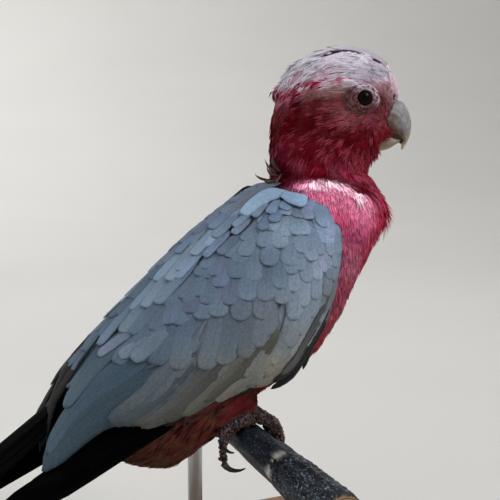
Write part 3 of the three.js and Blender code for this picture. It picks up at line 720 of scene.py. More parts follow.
def round_eye(points, side):
    """How far points are out from an eye's middle, along its axis, how far from its axis, and which way
    round. The distance grows faster upwards and downwards, as the ring is longer than it is high."""
    axis = eye_axis(side)
    back = -unit(np.cross(np.cross(axis, FORWARD), axis))
    offset = points - EYES["left" if side > 0 else "right"]
    out = offset @ axis
    radius = np.linalg.norm(offset - out[:, None] * axis, axis=1)
    angle = np.arctan2(offset @ UPWARD, offset @ back)
    oval = 1.08 - 0.13 * np.cos(2 * angle) - 0.06 * np.cos(angle + 0.5) + 0.02 * np.sin(5 * angle)
    return out, radius * (1 + smoothstep(3.6, 6.5, radius) * (oval - 1)), angle


def ring_skin(points, side):
    """Moves the skin near an eye onto the folds of its bare ring, and says how bare it is."""
    out, radius, angle = round_eye(points, side)
    corners = 0.5 * np.abs(np.cos(angle)) ** 8 * smoothstep(6.5, 3.6, radius)
    height = np.interp(radius - corners, LID[:, 0], LID[:, 1])
    near = (radius < RING_FADE) & (out > -2)
    crinkle = np.zeros(len(points))
    places = np.stack([radius * 0.9, 3.4 * np.cos(angle), 3.4 * np.sin(angle)], axis=1)[near]
    crinkle[near] = fractal_at(places + side, 1, 4, 0.8, 2.2)
    folds = 0.2 * np.sin(2 * math.pi * (radius + 1.3 * crinkle - 4.0) / 1.5 + 1.3 * np.sin(2 * angle + side))
    folds += 0.55 * crinkle
    height += 1.35 * folds * band(3.7, 4.6, 7.6, 8.8, radius)
    share = smoothstep(RING_FADE, 8.0, radius) * near
    moved = points + ((height - out) * share)[:, None] * eye_axis(side)
    return moved, smoothstep(8.9, 8.3, radius) * near, radius, folds


NOSTRIL = {"at": (14.0, 6.6, 0.8), "along": (0.25, 0, 1), "half": (1.35, 0.7), "depth": 1.2}


def from_nostril(points, side):
    """How far points of the bird's frame are from a nostril."""
    return np.linalg.norm(in_head(points) - np.array(NOSTRIL["at"]) * (1, side, 1), axis=1)


def nostril_skin(points, side):
    """Sinks a slit into the skin over the bill, with a low rim, and says how deep inside the points are."""
    centre, normal, _, _ = skin_tree.find_nearest(on_head(np.array(NOSTRIL["at"]) * (1, side, 1)))
    normal = np.array(normal)
    along = along_surface(in_bird_way(NOSTRIL["along"]), normal)
    offset = points - np.array(centre)
    near = np.linalg.norm(offset, axis=1) < 3
    half_length, half_width = NOSTRIL["half"]
    radius = np.hypot(offset @ along / half_length, offset @ np.cross(normal, along) / half_width)
    height = 0.14 * np.exp(-(((radius - 1.6) / 0.5) ** 2)) - NOSTRIL["depth"] * smoothstep(1.2, 0.5, radius)
    return points + (height * near)[:, None] * normal, smoothstep(1.35, 0.8, radius) * near


def refined_face(points, faces):
    """Splits the skin's faces near the eyes and nostrils twice, so that the folds have points enough."""
    for _ in range(2):
        middle = points[faces].mean(axis=1)
        near = np.zeros(len(faces), bool)
        for side in SIDES.values():
            out, radius, _ = round_eye(middle, side)
            near |= (radius < RING_FADE + 1) & (out > -3)
            near |= from_nostril(middle, side) < 2.6
        points, faces = split(points, faces, near)
    return points, faces


def split(points, faces, chosen):
    """Cuts the chosen quads into four. A neighbour that isn't chosen keeps its shape, with edges that
    hold the new points as well, so it is cut into triangles from its own middle."""
    edges = np.stack([faces, np.roll(faces, -1, axis=1)], axis=2)
    key = np.sort(edges, axis=2)
    flat = key[..., 0].astype(np.int64) * len(points) + key[..., 1]
    marked = np.unique(flat[chosen])
    halves = (points[marked // len(points)] + points[marked % len(points)]) / 2
    place = np.minimum(np.searchsorted(marked, flat), len(marked) - 1)
    has_half = marked[place] == flat
    half = len(points) + place
    centres = points[faces].mean(axis=1)
    touched = has_half.any(axis=1)
    centre = len(points) + len(marked) + np.cumsum(touched) - 1
    new = [faces[~touched]]
    fans = touched & ~chosen
    for corner in range(4):
        start, after = faces[:, corner], faces[:, (corner + 1) % 4]
        middle, before = half[:, corner], half[:, corner - 1]
        plain, cut = fans & ~has_half[:, corner], fans & has_half[:, corner]
        new.append(np.stack([start, middle, centre, before], axis=1)[chosen])
        new.append(np.stack([start, after, centre, centre], axis=1)[plain])
        new.append(np.stack([start, middle, centre, centre], axis=1)[cut])
        new.append(np.stack([middle, after, centre, centre], axis=1)[cut])
    return np.concatenate([points, halves, centres[touched]]), np.concatenate(new)


def polygons_of(faces):
    """Faces as arrays of quads and of triangles, from quads that may repeat their last point."""
    triangular = faces[:, 2] == faces[:, 3]
    return [part for part in (faces[~triangular], faces[triangular][:, :3]) if len(part)]


def ring_tone(offset, radius, folds):
    """The bare ring's colours: pale above and ruddy below, dark in its folds and along the lid, and with a
    few red marks in front. The paler upper front is partly a painted highlight, and the dark in the folds and
    at the outer brink under the feathers is painted shade. The offset is from the eye's middle."""
    rise, ahead = offset @ UPWARD, offset @ FORWARD
    # Partly painted highlight: the ring is paler towards its upper front.
    upper = smoothstep(-1, 6, rise + 0.6 * ahead)
    # Painted shade: the hollows of the folds are darker than their ridges.
    raised = smoothstep(-0.3, 0.35, folds)
    # Painted shade at the outer brink, where the ring runs under the feathers.
    brink = smoothstep(7.6, 8.6, radius)
    pale = blend(linear(122, 74, 76), linear(244, 228, 246), upper)
    tone = pale * ((0.16 + 1.08 * raised) * (1 - 0.6 * brink * (1 - 0.6 * upper)))[:, None]
    tone = blend(tone, linear(50, 34, 38), smoothstep(4.3, 3.7, radius))
    red = smoothstep(0.35, 0.8, np.sin(1.9 * rise) * np.sin(1.5 * ahead + 1))
    return blend(tone, linear(190, 44, 72), 0.75 * red * smoothstep(0, 3, ahead) * upper)


def build_skin():
    """The skin's piece, with its nostrils and eye rings, its markings and where it is bare or scaled."""
    points, faces = refined_face(skin_points, skin_faces)
    # The skin takes the plumage's colours darkened as painted shade.
    markings = plumage_at(points, "colour") * SKIN_PAINTED_SHADE
    bare = np.zeros(len(points))
    for name, side in SIDES.items():
        points, inside = nostril_skin(points, side)
        points, ring, radius, folds = ring_skin(points, side)
        markings = blend(markings, ring_tone(points - EYES[name], radius, folds), ring)
        # Painted shade in the nostril's hollow.
        markings = blend(markings, linear(26, 8, 10), inside)
        bare = np.maximum(bare, ring)
    scaled = np.zeros(len(points))
    for index in np.flatnonzero(points[:, 2] < 30):
        scaled[index] = smoothstep(3.0, 1.6, toe_tree.find_nearest(points[index])[3])
    # Painted shade: the skin under the foot's scales is near black, for the gaps between them.
    markings = blend(markings, linear(26, 18, 18), scaled)
    piece = new_object("skin", points, polygons_of(faces))
    set_colour(piece, "markings", markings)
    set_value(piece, "bare", bare)
    set_value(piece, "scaled", scaled)
    finished(piece, skin_material(), "plumage_rose", *FLESH)


def solids_tree(*nodes):
    """A tree that finds the nearest place on some CAD nodes."""
    return tree_of(*joined([node_mesh(node) for node in nodes]))


skin_points, skin_faces = make_skin()
skin_tree = tree_of(skin_points, skin_faces)
toe_tree = solids_tree(*[node for node in FLESH if node.startswith(("foot", "toe"))])
build_skin()

# ---- Vanes: the closed feathers of the wings and tail ---------------------------------------------------
# They lie on sheets. A place on a sheet is a pair: how far along it, and how far across.

WING_ROWS = {
    "top": [(24, 19, 111), (10, 11, 113), (-4, 4, 104.5), (-22, 2.5, 91.5), (-42, 2.5, 72.5),
            (-61, 3.5, 53.5), (-77, 8, 35), (-88, 16, 15), (-93.5, 21.5, 1)],
    "middle": [(32, 33, 97), (18, 38.5, 90.5), (4, 41, 79), (-14, 41, 66), (-35, 39, 53), (-54, 36, 40),
               (-73, 31.5, 27), (-86, 27, 11.5), (-93.8, 23.4, 0.2)],
    "low": [(40, 33, 80), (33, 35.5, 63), (23.5, 35.5, 48), (11.5, 34.5, 32.5), (-13, 32, 24), (-38, 30, 16),
            (-64, 28, 12), (-82, 26, 4), (-93.5, 24, -0.8)],
}
PRIMARY_ROWS = {
    "top": [(4, 27, 32), (-22, 26, 27), (-43, 25, 21), (-62, 24, 14), (-84, 23, 1), (-110, 22, -12),
            (-138, 21, -31.5)],
    "middle": [(3, 27.6, 30), (-23.5, 27, 23), (-45.5, 26, 15), (-66, 25, 6), (-87, 24, -5),
               (-112.5, 23, -17), (-139, 21.5, -33)],
    "low": [(2, 27, 27.5), (-25, 26.5, 19), (-48, 25.5, 8.5), (-70, 24.5, -3.5), (-90, 23.5, -12.5),
            (-115, 22.5, -24), (-140, 21.3, -35)],
}
TAIL = {"root": (-48, 0, 46), "pitch": math.radians(36), "length": 146, "arch": 0.16, "rounding": 9,
        "half": [9, 12, 15, 18, 21, 23, 23.5]}


class Sheet:
    """A smooth surface that vanes lie on. at() gives its points, and outward the side that shows."""

    def __init__(self, at, outward):
        self.at = at
        self.outward = outward

    def tangents(self, places):
        step = 1e-3
        along = (self.at(places + (step, 0)) - self.at(places - (step, 0))) / (2 * step)
        across = (self.at(places + (0, step)) - self.at(places - (0, step))) / (2 * step)
        return along, across, unit(np.cross(along, across)) * self.outward

    def step_of(self, places, ways):
        """How far places move on the sheet for a step of one millimetre in some directions."""
        along, across, _ = self.tangents(places)
        aa, bb, ab = dot(along, along), dot(across, across), dot(along, across)
        a, b = dot(along, ways), dot(across, ways)
        room = np.maximum(aa * bb - ab * ab, 1e-6)
        return np.stack([(bb * a - ab * b) / room, (aa * b - ab * a) / room], axis=-1)


def rows_sheet(rows, side):
    """The outside of a plate between a top and a lower edge, bulged through a middle line."""

    def at(places):
        run = np.clip(places[..., 0], -0.6, len(rows["top"]) - 0.7)
        across = places[..., 1:2]
        top, middle, low = (through(rows[key], run) for key in ("top", "middle", "low"))
        control = 2 * middle - 0.5 * top - 0.5 * low
        point = (1 - across) ** 2 * top + 2 * across * (1 - across) * control + across**2 * low
        return point * (1, side, 1)

    return Sheet(at, -side)


def tail_sheet():
    """The folded tail: from its root to its tips, and across from one edge to the other."""
    along = np.array([-math.cos(TAIL["pitch"]), 0, -math.sin(TAIL["pitch"])])
    up = np.array([-math.sin(TAIL["pitch"]), 0, math.cos(TAIL["pitch"])])

    def at(places):
        run, across = places[..., 0:1], places[..., 1:2]
        half = through(np.array(TAIL["half"], float)[:, None], np.clip(run[..., 0], 0, 1) * 6)
        fall = TAIL["arch"] * half * across**2
        return np.array(TAIL["root"]) + along * TAIL["length"] * run - up * fall + [0, 1, 0] * half * across

    return Sheet(at, -1)


covers = []  # the vanes' outer sides, where no loose feather grows
VANE_STOPS = 1 - (1 - np.linspace(0, 1, 13)) ** 1.5  # closer together towards the tip
VANE_ACROSS = np.linspace(-1, 1, 7)
VANE_THICKNESS = 0.2
# Painted shade: each vane's underside has its colours this much darker.
UNDERSIDE_PAINTED_SHADE = 0.16


def backwards(sheet, tips, lengths, lie, turn):
    """Paths on a sheet to given tips, from where feathers of those lengths start, each turned a little."""
    path = [tips]
    cosine, sine = np.cos(turn)[:, None], np.sin(turn)[:, None]
    stops = VANE_STOPS[::-1]
    for stop, after in zip(stops, stops[1:]):
        place = path[-1]
        normal = sheet.tangents(place)[2]
        ways = along_surface(lie(place), normal)
        ways = ways * cosine + np.cross(normal, ways) * sine
        path.append(place - sheet.step_of(place, ways) * (lengths * (stop - after))[:, None])
    return np.stack(path[::-1], axis=1)


def straight(roots, tips):
    """Paths on a sheet straight from their roots to their tips."""
    return roots[:, None] + (tips - roots)[:, None] * VANE_STOPS[:, None]


def outline(lengths, halves, point):
    """The half widths along vanes: narrow at the root, even, and round or pointed at the tip."""
    stops = VANE_STOPS[None]
    start = 0.45 + 0.55 * smoothstep(0, 0.35, stops)
    turn = 1 - np.clip(point * halves / lengths, 0.05, 0.9)[:, None]
    end = np.sqrt(np.clip(1 - (np.maximum(stops - turn, 0) / (1 - turn)) ** 2.2, 0.0004, 1))
    return halves[:, None] * start * end


class Vanes:
    """Gathers closed vanes, each two grids of points and a rim, and makes one piece of them. What lies
    further along their sheet than the given run is painted near black, as shadow."""

    def __init__(self, painted_shadow_from=100):
        self.points, self.colours, self.spans = [], [], []
        self.painted_shadow_from = painted_shadow_from

    def add(self, sheet, path, halves, colours, depths, point, lean):
        """Adds feathers along paths on a sheet. The depths are the root's and the tip's heights over the
        sheet, the point says how long the tip's rounding is, and the lean lifts one side over the other."""
        count = len(path)
        centres = sheet.at(path)
        lengths = np.linalg.norm(np.diff(centres, axis=1), axis=2).sum(axis=1)
        ways = np.gradient(centres, axis=1)
        normal = sheet.tangents(path)[2]
        aside = unit(np.cross(normal, ways))
        per_mm = sheet.step_of(path, aside)
        widths = outline(lengths, halves * chance.uniform(0.94, 1.06, count), point)
        ragged = 1 + chance.normal(0, 0.03, (count, len(VANE_STOPS), 1)) * np.abs(VANE_ACROSS)
        shift = widths[..., None] * VANE_ACROSS * ragged
        places = path[:, :, None] + per_mm[:, :, None] * shift[..., None]
        facing = sheet.tangents(places)[2]
        share = VANE_STOPS[None, :, None]
        depth = depths[0] + (depths[1] - depths[0]) * share**0.75
        depth = depth + chance.uniform(0, 0.35, (count, 1, 1)) * share
        tilt = lean * VANE_ACROSS * chance.uniform(0.7, 1.3, (count, 1, 1))
        cup = -0.16 * widths[..., None] * np.abs(VANE_ACROSS) ** 2.5 * smoothstep(0.1, 0.7, share)
        cup = cup - 0.3 * smoothstep(0.86, 1.0, share)
        shaft = 0.12 * np.exp(-((VANE_ACROSS / 0.12) ** 2))
        uneven = chance.normal(0, 0.05, (count, len(VANE_STOPS), len(VANE_ACROSS)))
        outer = sheet.at(places) + facing * (depth + tilt + cup + shaft + uneven)[..., None]
        self.points.append(np.stack([outer, outer - VANE_THICKNESS * facing], axis=1))
        tone = chance.uniform(0.86, 1.12, (count, 1))
        along = colours if colours.ndim == 3 else np.repeat(colours[:, None], len(VANE_STOPS), axis=1)
        # Painted shadow: near black beyond the given run.
        painted_shadow = smoothstep(self.painted_shadow_from, self.painted_shadow_from + 0.3, path[..., :1])
        self.colours.append(along * tone[..., None] * (1 - 0.95 * painted_shadow))
        self.spans.append(lengths)

    def build(self, name, material, slot, *nodes, cover=True):
        """Makes the piece. As a cover, it keeps loose feathers from growing under it."""
        points = np.concatenate(self.points)
        count, _, rows, columns = points.shape[:4]
        first = (np.arange(count) * rows * columns)[:, None, None]
        faces = (2 * first + plate_faces(rows, columns)).reshape(-1, 4)
        piece = new_object(name, points.reshape(-1, 3), [faces])
        local = np.stack(np.meshgrid(VANE_ACROSS / 2 + 0.5, VANE_STOPS), axis=-1)
        local = np.broadcast_to(local, (count, 2, rows, columns, 2))
        cells = math.ceil(math.sqrt(2 * count))
        cell = np.arange(2 * count)
        corner = np.stack([cell % cells, cell // cells], axis=-1).reshape(count, 2, 1, 1, 2)
        set_uv(piece, "OFBake", ((corner + 0.04 + 0.92 * local) / cells).reshape(-1, 2))
        set_uv(piece, "Vane", local.reshape(-1, 2))
        # The undersides take the same colours, darkened as painted shade.
        shades = np.array([1, UNDERSIDE_PAINTED_SHADE]).reshape(2, 1, 1, 1)
        colours = np.concatenate(self.colours)[:, None, :, None] * shades
        colours = np.broadcast_to(colours, (count, 2, rows, columns, 3))
        set_colour(piece, "markings", colours.reshape(-1, 3))
        set_value(piece, "span", np.repeat(np.concatenate(self.spans), 2 * rows * columns))
        if cover:
            covers.append((points[:, 0].reshape(-1, 3), (first + grid_quads(rows, columns)).reshape(-1, 4)))
        finished(piece, material, slot, *nodes)


# The palest blues at the wing's top are partly painted sky light on its upper face.
WING_COLOURS = [
    # place on the wing's sheet, colour
    ((0.1, 0.1), (146, 173, 205)), ((0.1, 0.5), (142, 167, 196)), ((0.3, 0.88), (131, 149, 169)),
    # The two darker greys at across 0.99 near the shoulder are painted shade along the seam with the breast.
    ((0.2, 0.99), (98, 104, 114)), ((0.9, 0.99), (104, 108, 114)), ((1.45, 0.25), (150, 170, 192)),
    ((1.1, 0.24), (140, 162, 184)), ((1.2, 0.75), (148, 165, 186)), ((0.7, 0.2), (104, 120, 136)),
    ((0.9, 0.2), (119, 141, 167)), ((1.8, 0.2), (119, 139, 162)), ((1.2, 0.55), (129, 147, 171)),
    ((2, 0.45), (101, 119, 139)), ((1.9, 0.8), (138, 153, 171)), ((2.2, 0.98), (140, 143, 146)),
    ((3.2, 0.98), (150, 148, 138)), ((2.6, 0.75), (117, 127, 139)), ((2.9, 0.3), (101, 121, 143)),
    ((3.4, 0.6), (105, 119, 135)), ((3.6, 0.88), (126, 130, 128)), ((4.3, 0.97), (140, 138, 126)),
    ((4.0, 0.35), (96, 113, 135)), ((4.8, 0.1), (101, 123, 148)), ((4.4, 0.75), (102, 112, 118)),
    ((5, 0.5), (86, 103, 122)), ((5.2, 0.97), (104, 104, 98)), ((5.0, 0.75), (92, 102, 110)),
    ((6.2, 0.08), (94, 117, 139)), ((6.5, 0.5), (70, 88, 110)), ((5.9, 0.8), (76, 88, 98)),
    ((6.4, 0.9), (72, 82, 90)), ((7.6, 0.5), (64, 84, 106)),
]
# The feathers' lie: how far they lean back from straight down, at rows along the wing. The flight
# feathers lean most, the coverts less, and along the lower front edge they follow the edge.
FLIGHT_LEAN = [2, 6, 12, 24, 37, 45, 51, 54, 56]
COVERT_LEAN = [2, 2, 3, 5, 9, 22, 38, 46, 50]
EDGE_LEAN = [14, 26, 40, 56, 64, 66, 66, 66, 66]
TOP_LEAN = 50


def wing_colour(places):
    """The blended colour of the wing's feathers at places on its sheet."""
    at = np.array([place for place, _ in WING_COLOURS]) * (1, 3)
    colours = np.array([linear(*colour) for _, colour in WING_COLOURS])
    say = (np.linalg.norm(places[:, None] * (1, 3) - at, axis=2) + 0.15) ** -4
    return (say / say.sum(axis=1, keepdims=True)) @ colours


def lie_of(leans):
    """A function that gives the feathers' lie at places on the wing's sheet."""

    def lie(places):
        run, across = places[..., 0], places[..., 1]
        rows = np.array([leans, EDGE_LEAN], float)[..., None]
        lean, edge_lean = (through(row, run)[..., 0] for row in rows)
        at_edge = smoothstep(0.82, 0.97, across) * smoothstep(4.4, 3.4, run)
        lean = lean + at_edge * np.maximum(edge_lean - lean, 0)
        by_top = smoothstep(0.3, 0.12, across)
        lean = np.radians(lean + by_top * np.maximum(TOP_LEAN - lean, 0))
        return np.stack([-np.sin(lean), np.zeros_like(lean), -np.cos(lean)], axis=-1)

    return lie


# The rows of a wing's feathers, from the deepest up. Each has the line of its tips on the wing's sheet,
# how many feathers, their lengths and half widths from the line's start to its end, how deep they
# start and end, how long the tip's rounding is, and what share of them has a pink tint.
FLIGHT_TRACT = {
    "tips": [(2.5, 0.955), (2.9, 0.955), (3.3, 0.96), (3.7, 0.965), (4.1, 0.965), (4.5, 0.965),
             (4.9, 0.975), (5.2, 0.985), (5.48, 0.975), (5.72, 0.91), (6.0, 0.8)],
    "count": 15, "lengths": (54, 76), "halves": (6.8, 7.0), "depths": (-2.2, -0.9), "point": 0.85,
    "tint": 0.02,
}
COVERT_TRACTS = [
    {"tips": [(1.3, 0.99), (1.8, 0.988), (2.3, 0.986), (2.8, 0.985), (3.3, 0.985), (3.8, 0.98),
              (4.2, 0.975)],
     "count": 9, "lengths": (26, 32), "halves": (4.4, 5.4), "depths": (-2.0, -0.8), "point": 1.1,
     "tint": 0},
    {"tips": [(1.0, 0.975), (1.5, 0.93), (2.0, 0.915), (2.5, 0.9), (3.0, 0.9), (3.5, 0.9), (4.0, 0.88)],
     "count": 8, "lengths": (28, 36), "halves": (5.4, 6.4), "depths": (-2.0, -0.7), "point": 0.9,
     "tint": 0.02},
    {"tips": [(0.7, 0.93), (1.1, 0.9), (1.5, 0.855), (1.87, 0.815), (2.25, 0.8), (2.75, 0.755),
              (3.1, 0.77), (3.4, 0.785), (3.8, 0.76), (4.1, 0.73), (4.45, 0.62), (4.75, 0.5),
              (5.0, 0.38), (5.25, 0.26)],
     "count": 14, "lengths": (28, 44), "halves": (4.6, 6.2), "depths": (-2.1, -0.5), "point": 0.9,
     "tint": 0.06},
    {"tips": [(0.4, 0.9), (0.8, 0.85), (1.2, 0.76), (1.65, 0.67), (2.05, 0.66), (2.5, 0.65),
              (2.95, 0.61), (3.35, 0.5), (3.6, 0.44), (4.05, 0.38), (4.5, 0.33), (4.95, 0.29)],
     "count": 13, "lengths": (22, 32), "halves": (4.4, 5.8), "depths": (-2.0, -0.4), "point": 0.9,
     "tint": 0.12},
]
SHOULDER_TIPS = [(-0.1, 0.8), (0.0, 0.6), (0.2, 0.42), (0.5, 0.32), (0.95, 0.26), (1.35, 0.23),
                 (1.8, 0.215), (2.3, 0.205), (2.8, 0.2), (3.3, 0.19), (3.8, 0.2), (4.3, 0.21)]
LESSER_ROWS = 4
PINK_TINT = (1.12, 1.0, 1.06)
# Feathers placed one by one: the root and tip on the wing's sheet, half the width, how high they lie,
# how long the tip's rounding is, and the colour.
# The palest blue feathers over the shoulder are partly painted sky light.
MANTLE = [
    ((4.6, 0.86), (7.7, 0.54), 6.6, -1.3, 0.9, (66, 84, 98)),
    ((4.3, 0.62), (7.9, 0.36), 6.8, -0.9, 0.8, (72, 91, 106)),
    # A near-black feather: painted shadow in the gap between the wing's top and the back.
    ((4.8, 0.0), (7.6, -0.34), 6.0, 0.2, 1.7, (6, 7, 9)),
    ((4.4, 0.42), (7.45, 0.2), 7.0, -0.5, 1.1, (72, 92, 109)),
    ((4.5, 0.16), (6.45, 0.14), 5.6, 0.2, 1.9, (84, 104, 118)),
    ((4.3, 0.04), (6.2, 0.02), 4.4, 0.2, 1.7, (86, 106, 122)),
    ((4.5, 0.2), (5.4, 0.12), 3.0, 0.6, 1.2, (124, 136, 160)),
    ((4.5, 0.33), (5.12, 0.26), 3.2, 0.4, 1.1, (128, 142, 164)),
    ((4.2, 0.36), (4.98, 0.36), 3.8, 0.4, 1.1, (114, 130, 148)),
    ((3.9, 0.02), (5.3, 0.05), 3.8, 0.5, 1.4, (112, 132, 152)),
    ((3.6, 0.14), (4.75, 0.2), 3.8, 0.4, 1.2, (106, 126, 146)),
    ((3.2, 0.02), (4.5, 0.07), 3.8, 0.6, 1.3, (126, 148, 172)),
    ((3.0, 0.12), (4.1, 0.17), 3.6, 0.6, 1.2, (124, 146, 170)),
    ((2.5, 0.01), (3.9, 0.045), 3.6, 0.7, 1.3, (128, 150, 174)),
    ((2.5, 0.09), (3.6, 0.14), 3.2, 0.8, 1.2, (130, 153, 180)),
    ((1.9, 0.0), (3.2, 0.03), 3.4, 0.6, 1.3, (124, 142, 164)),
    ((1.7, 0.06), (2.9, 0.11), 3.2, 0.9, 1.2, (140, 165, 194)),
    ((1.2, 0.0), (2.5, 0.035), 3.2, 0.4, 1.3, (116, 128, 146)),
    ((1.75, 0.13), (2.3, 0.155), 2.2, 0.8, 0.8, (124, 138, 162)),
    ((2.2, 0.17), (2.75, 0.2), 2.8, 0.5, 0.8, (112, 128, 154)),
    ((1.2, 0.17), (1.75, 0.24), 2.9, 0.2, 0.9, (116, 138, 166)),
    ((0.95, 0.17), (1.4, 0.25), 2.9, 0.3, 0.9, (112, 134, 162)),
    ((0.75, 0.12), (1.35, 0.19), 2.7, 0.6, 0.9, (124, 146, 174)),
    ((0.5, 0.14), (0.98, 0.21), 3.0, 0.6, 0.9, (118, 140, 168)),
    ((1.1, 0.1), (1.7, 0.15), 2.2, 0.9, 0.9, (136, 156, 182)),
    ((2.7, 0.0), (3.35, 0.03), 2.4, 1.2, 0.9, (112, 132, 156)),
    ((2.9, 0.08), (3.5, 0.12), 2.4, 1.2, 0.9, (136, 158, 184)),
    ((2.3, 0.13), (3.0, 0.165), 2.2, 1.1, 0.9, (116, 136, 164)),
    ((1.9, 0.02), (2.6, 0.055), 2.5, 1.2, 0.9, (118, 138, 164)),
    ((1.5, 0.1), (2.2, 0.125), 2.0, 1.2, 0.9, (128, 150, 178)),
    ((0.35, 0.0), (2.2, 0.03), 3.2, 0.6, 1.4, (120, 132, 150)),
    ((0.3, 0.035), (1.88, 0.1), 4.2, 1.3, 1.1, (158, 186, 216)),
    ((3.9, 0.07), (4.85, 0.14), 3.8, 0.9, 0.9, (116, 136, 154)),
    ((3.4, 0.06), (4.3, 0.128), 3.6, 1.0, 0.9, (126, 144, 164)),
    ((2.9, 0.06), (3.72, 0.118), 3.4, 1.1, 0.8, (134, 152, 172)),
    ((2.3, 0.055), (3.15, 0.112), 3.2, 1.2, 0.8, (130, 150, 172)),
    ((1.9, 0.07), (2.65, 0.11), 2.8, 1.2, 0.8, (124, 146, 170)),
    ((0.62, 0.06), (0.0, 0.13), 5.0, 1.7, 0.8, (150, 180, 214)),
]
# The lowest secondaries, whose tips stand apart.
SECONDARIES = [
    ((3.5, 0.6), (5.74, 0.87), 5.8, -0.8, 0.8, (86, 98, 106)),
    ((3.3, 0.66), (5.46, 0.955), 5.6, -0.68, 0.8, (106, 110, 110)),
    ((3.1, 0.7), (5.14, 0.985), 5.4, -0.56, 0.8, (92, 94, 92)),
    ((2.9, 0.74), (4.84, 0.975), 5.4, -0.46, 0.8, (112, 114, 108)),
    ((2.6, 0.77), (4.42, 0.945), 5.2, -0.4, 0.8, (100, 100, 92)),
]
ALULA = [
    ((0.7, 0.95), (3.1, 0.98), 2.6, 0.1, 1.8, (84, 87, 88)),
    ((0.8, 0.98), (3.3, 1.0), 2.6, -0.2, 1.8, (44, 46, 48)),
    ((0.9, 1.03), (3.4, 1.04), 2.8, -0.5, 1.8, (26, 25, 25)),
    ((1.0, 1.07), (2.6, 1.08), 2.4, -0.9, 1.8, (20, 19, 18)),
    ((3.3, 1.0), (5.2, 1.03), 3.6, -1.5, 1.6, (44, 39, 33)),
]


def along_line(line, count):
    """Places evenly spread along a line of tips."""
    return through(line, np.linspace(0, len(line) - 1, count))


def add_tract(vanes, sheet, tract, lean, lie):
    """Adds a row of feathers whose tips follow the tract's line."""
    count = tract["count"]
    uneven = tract.get("uneven", 1.0)
    tips = along_line(tract["tips"], count) + uneven * chance.normal(0, 1, (count, 2)) * (0.045, 0.009)
    lengths = np.linspace(*tract["lengths"], count) * chance.uniform(0.94, 1.06, count)
    halves = np.linspace(*tract["halves"], count) * chance.uniform(0.92, 1.08, count)
    path = backwards(sheet, tips, lengths, lie, chance.normal(0, 0.07 * uneven, count))
    path = np.maximum(path, (-0.2, -0.3))
    colours = wing_colour(path.reshape(-1, 2)).reshape(*path.shape[:2], 3)
    tinted = chance.random((count, 1, 1)) < tract["tint"]
    colours = np.where(tinted, colours * PINK_TINT, colours)
    vanes.add(sheet, path, halves, colours, tract["depths"], tract["point"], lean)


def lesser_tracts():
    """Rows of small coverts between the shoulder and the median coverts, smaller towards the shoulder."""
    count = 14
    low, high = along_line(COVERT_TRACTS[-1]["tips"], count), along_line(SHOULDER_TIPS, count)
    for row in reversed(range(LESSER_ROWS)):
        share = (row + 0.25) / LESSER_ROWS
        yield {
            "tips": high + (low - high) * share, "count": count + row % 2,
            "lengths": (15 + 5 * share, 20 + 8 * share), "halves": (3.8 + 0.6 * share, 5.0 + 0.8 * share),
            "depths": (-1.8, -0.25), "point": 0.9, "uneven": 1.8, "tint": 0.12,
        }


def add_single(vanes, sheet, root, tip, half, depths, point, lean, colour):
    """Adds one feather from a root straight to a tip."""
    path = straight(np.array([root]), np.array([tip]))
    vanes.add(sheet, path, np.array([half]), linear(*colour)[None], depths, point, lean)


def add_singles(vanes, sheet, rows, lean):
    for root, tip, half, height, point, colour in rows:
        add_single(vanes, sheet, root, tip, half, (height - 1.2, height), point, lean, colour)


def build_wing_bed(name, sheet, material):
    """The down under a wing's feathers, which shows as grey fluff in the gaps between them."""
    run, across = np.meshgrid(np.linspace(0.15, 5.4, 50), np.linspace(0.03, 0.94, 22), indexing="ij")
    places = np.stack([run, across], axis=-1)
    facing = sheet.tangents(places)[2]
    outer = sheet.at(places) - 2.3 * facing
    points = np.stack([outer, outer - 0.5 * facing]).reshape(-1, 3)
    piece = new_object(f"wing_down_{name}", points, [plate_faces(*run.shape)])
    finished(piece, material, "plumage_grey")


def build_wing(name, side, material, down):
    """A wing's feathers, from the deepest up, and the down under them."""
    sheet = rows_sheet(WING_ROWS, side)
    # The far (left) wing's rear feathers are painted near black, as shadow.
    vanes = Vanes(painted_shadow_from=5.8) if name == "left" else Vanes()
    add_singles(vanes, sheet, ALULA, 0.1 * side)
    add_tract(vanes, sheet, FLIGHT_TRACT, 0.5 * side, lie_of(FLIGHT_LEAN))
    add_singles(vanes, sheet, SECONDARIES, 0.45 * side)
    for tract in [*COVERT_TRACTS, *lesser_tracts()]:
        add_tract(vanes, sheet, tract, 0.12 * side, lie_of(COVERT_LEAN))
    add_singles(vanes, sheet, MANTLE, 0.2 * side)
    vanes.build(f"wing_feathers_{name}", material, "plumage_grey", f"wing_{name}")
    build_wing_bed(name, sheet, down)


PRIMARY_TIPS = [(5.6, 0.75), (5.95, 0.55), (5.8, 0.45), (5.45, 0.4), (5.05, 0.36), (4.6, 0.34), (4.2, 0.3),
                (4.9, 0.14), (4.6, 0.02), (4.25, -0.06)]


def build_primaries(name, side, material):
    """The hand's feathers, stacked with the inner ones on top and shorter."""
    sheet = rows_sheet(PRIMARY_ROWS, side)
    vanes = Vanes()
    for row, tip in enumerate(PRIMARY_TIPS):
        root = (0.3 + 0.12 * row, 0.9 - 0.06 * row) if row else (0.3, 0.95)
        colour = (3, 3, 4) if row % 2 else (8, 8, 8)
        depth = -1.7 + 0.24 * row
        add_single(vanes, sheet, root, tip, 4.4, (depth, depth), 2.6, 0.12 * side, colour)
    vanes.build(f"primary_feathers_{name}", material, "flight_feathers", f"primaries_{name}")


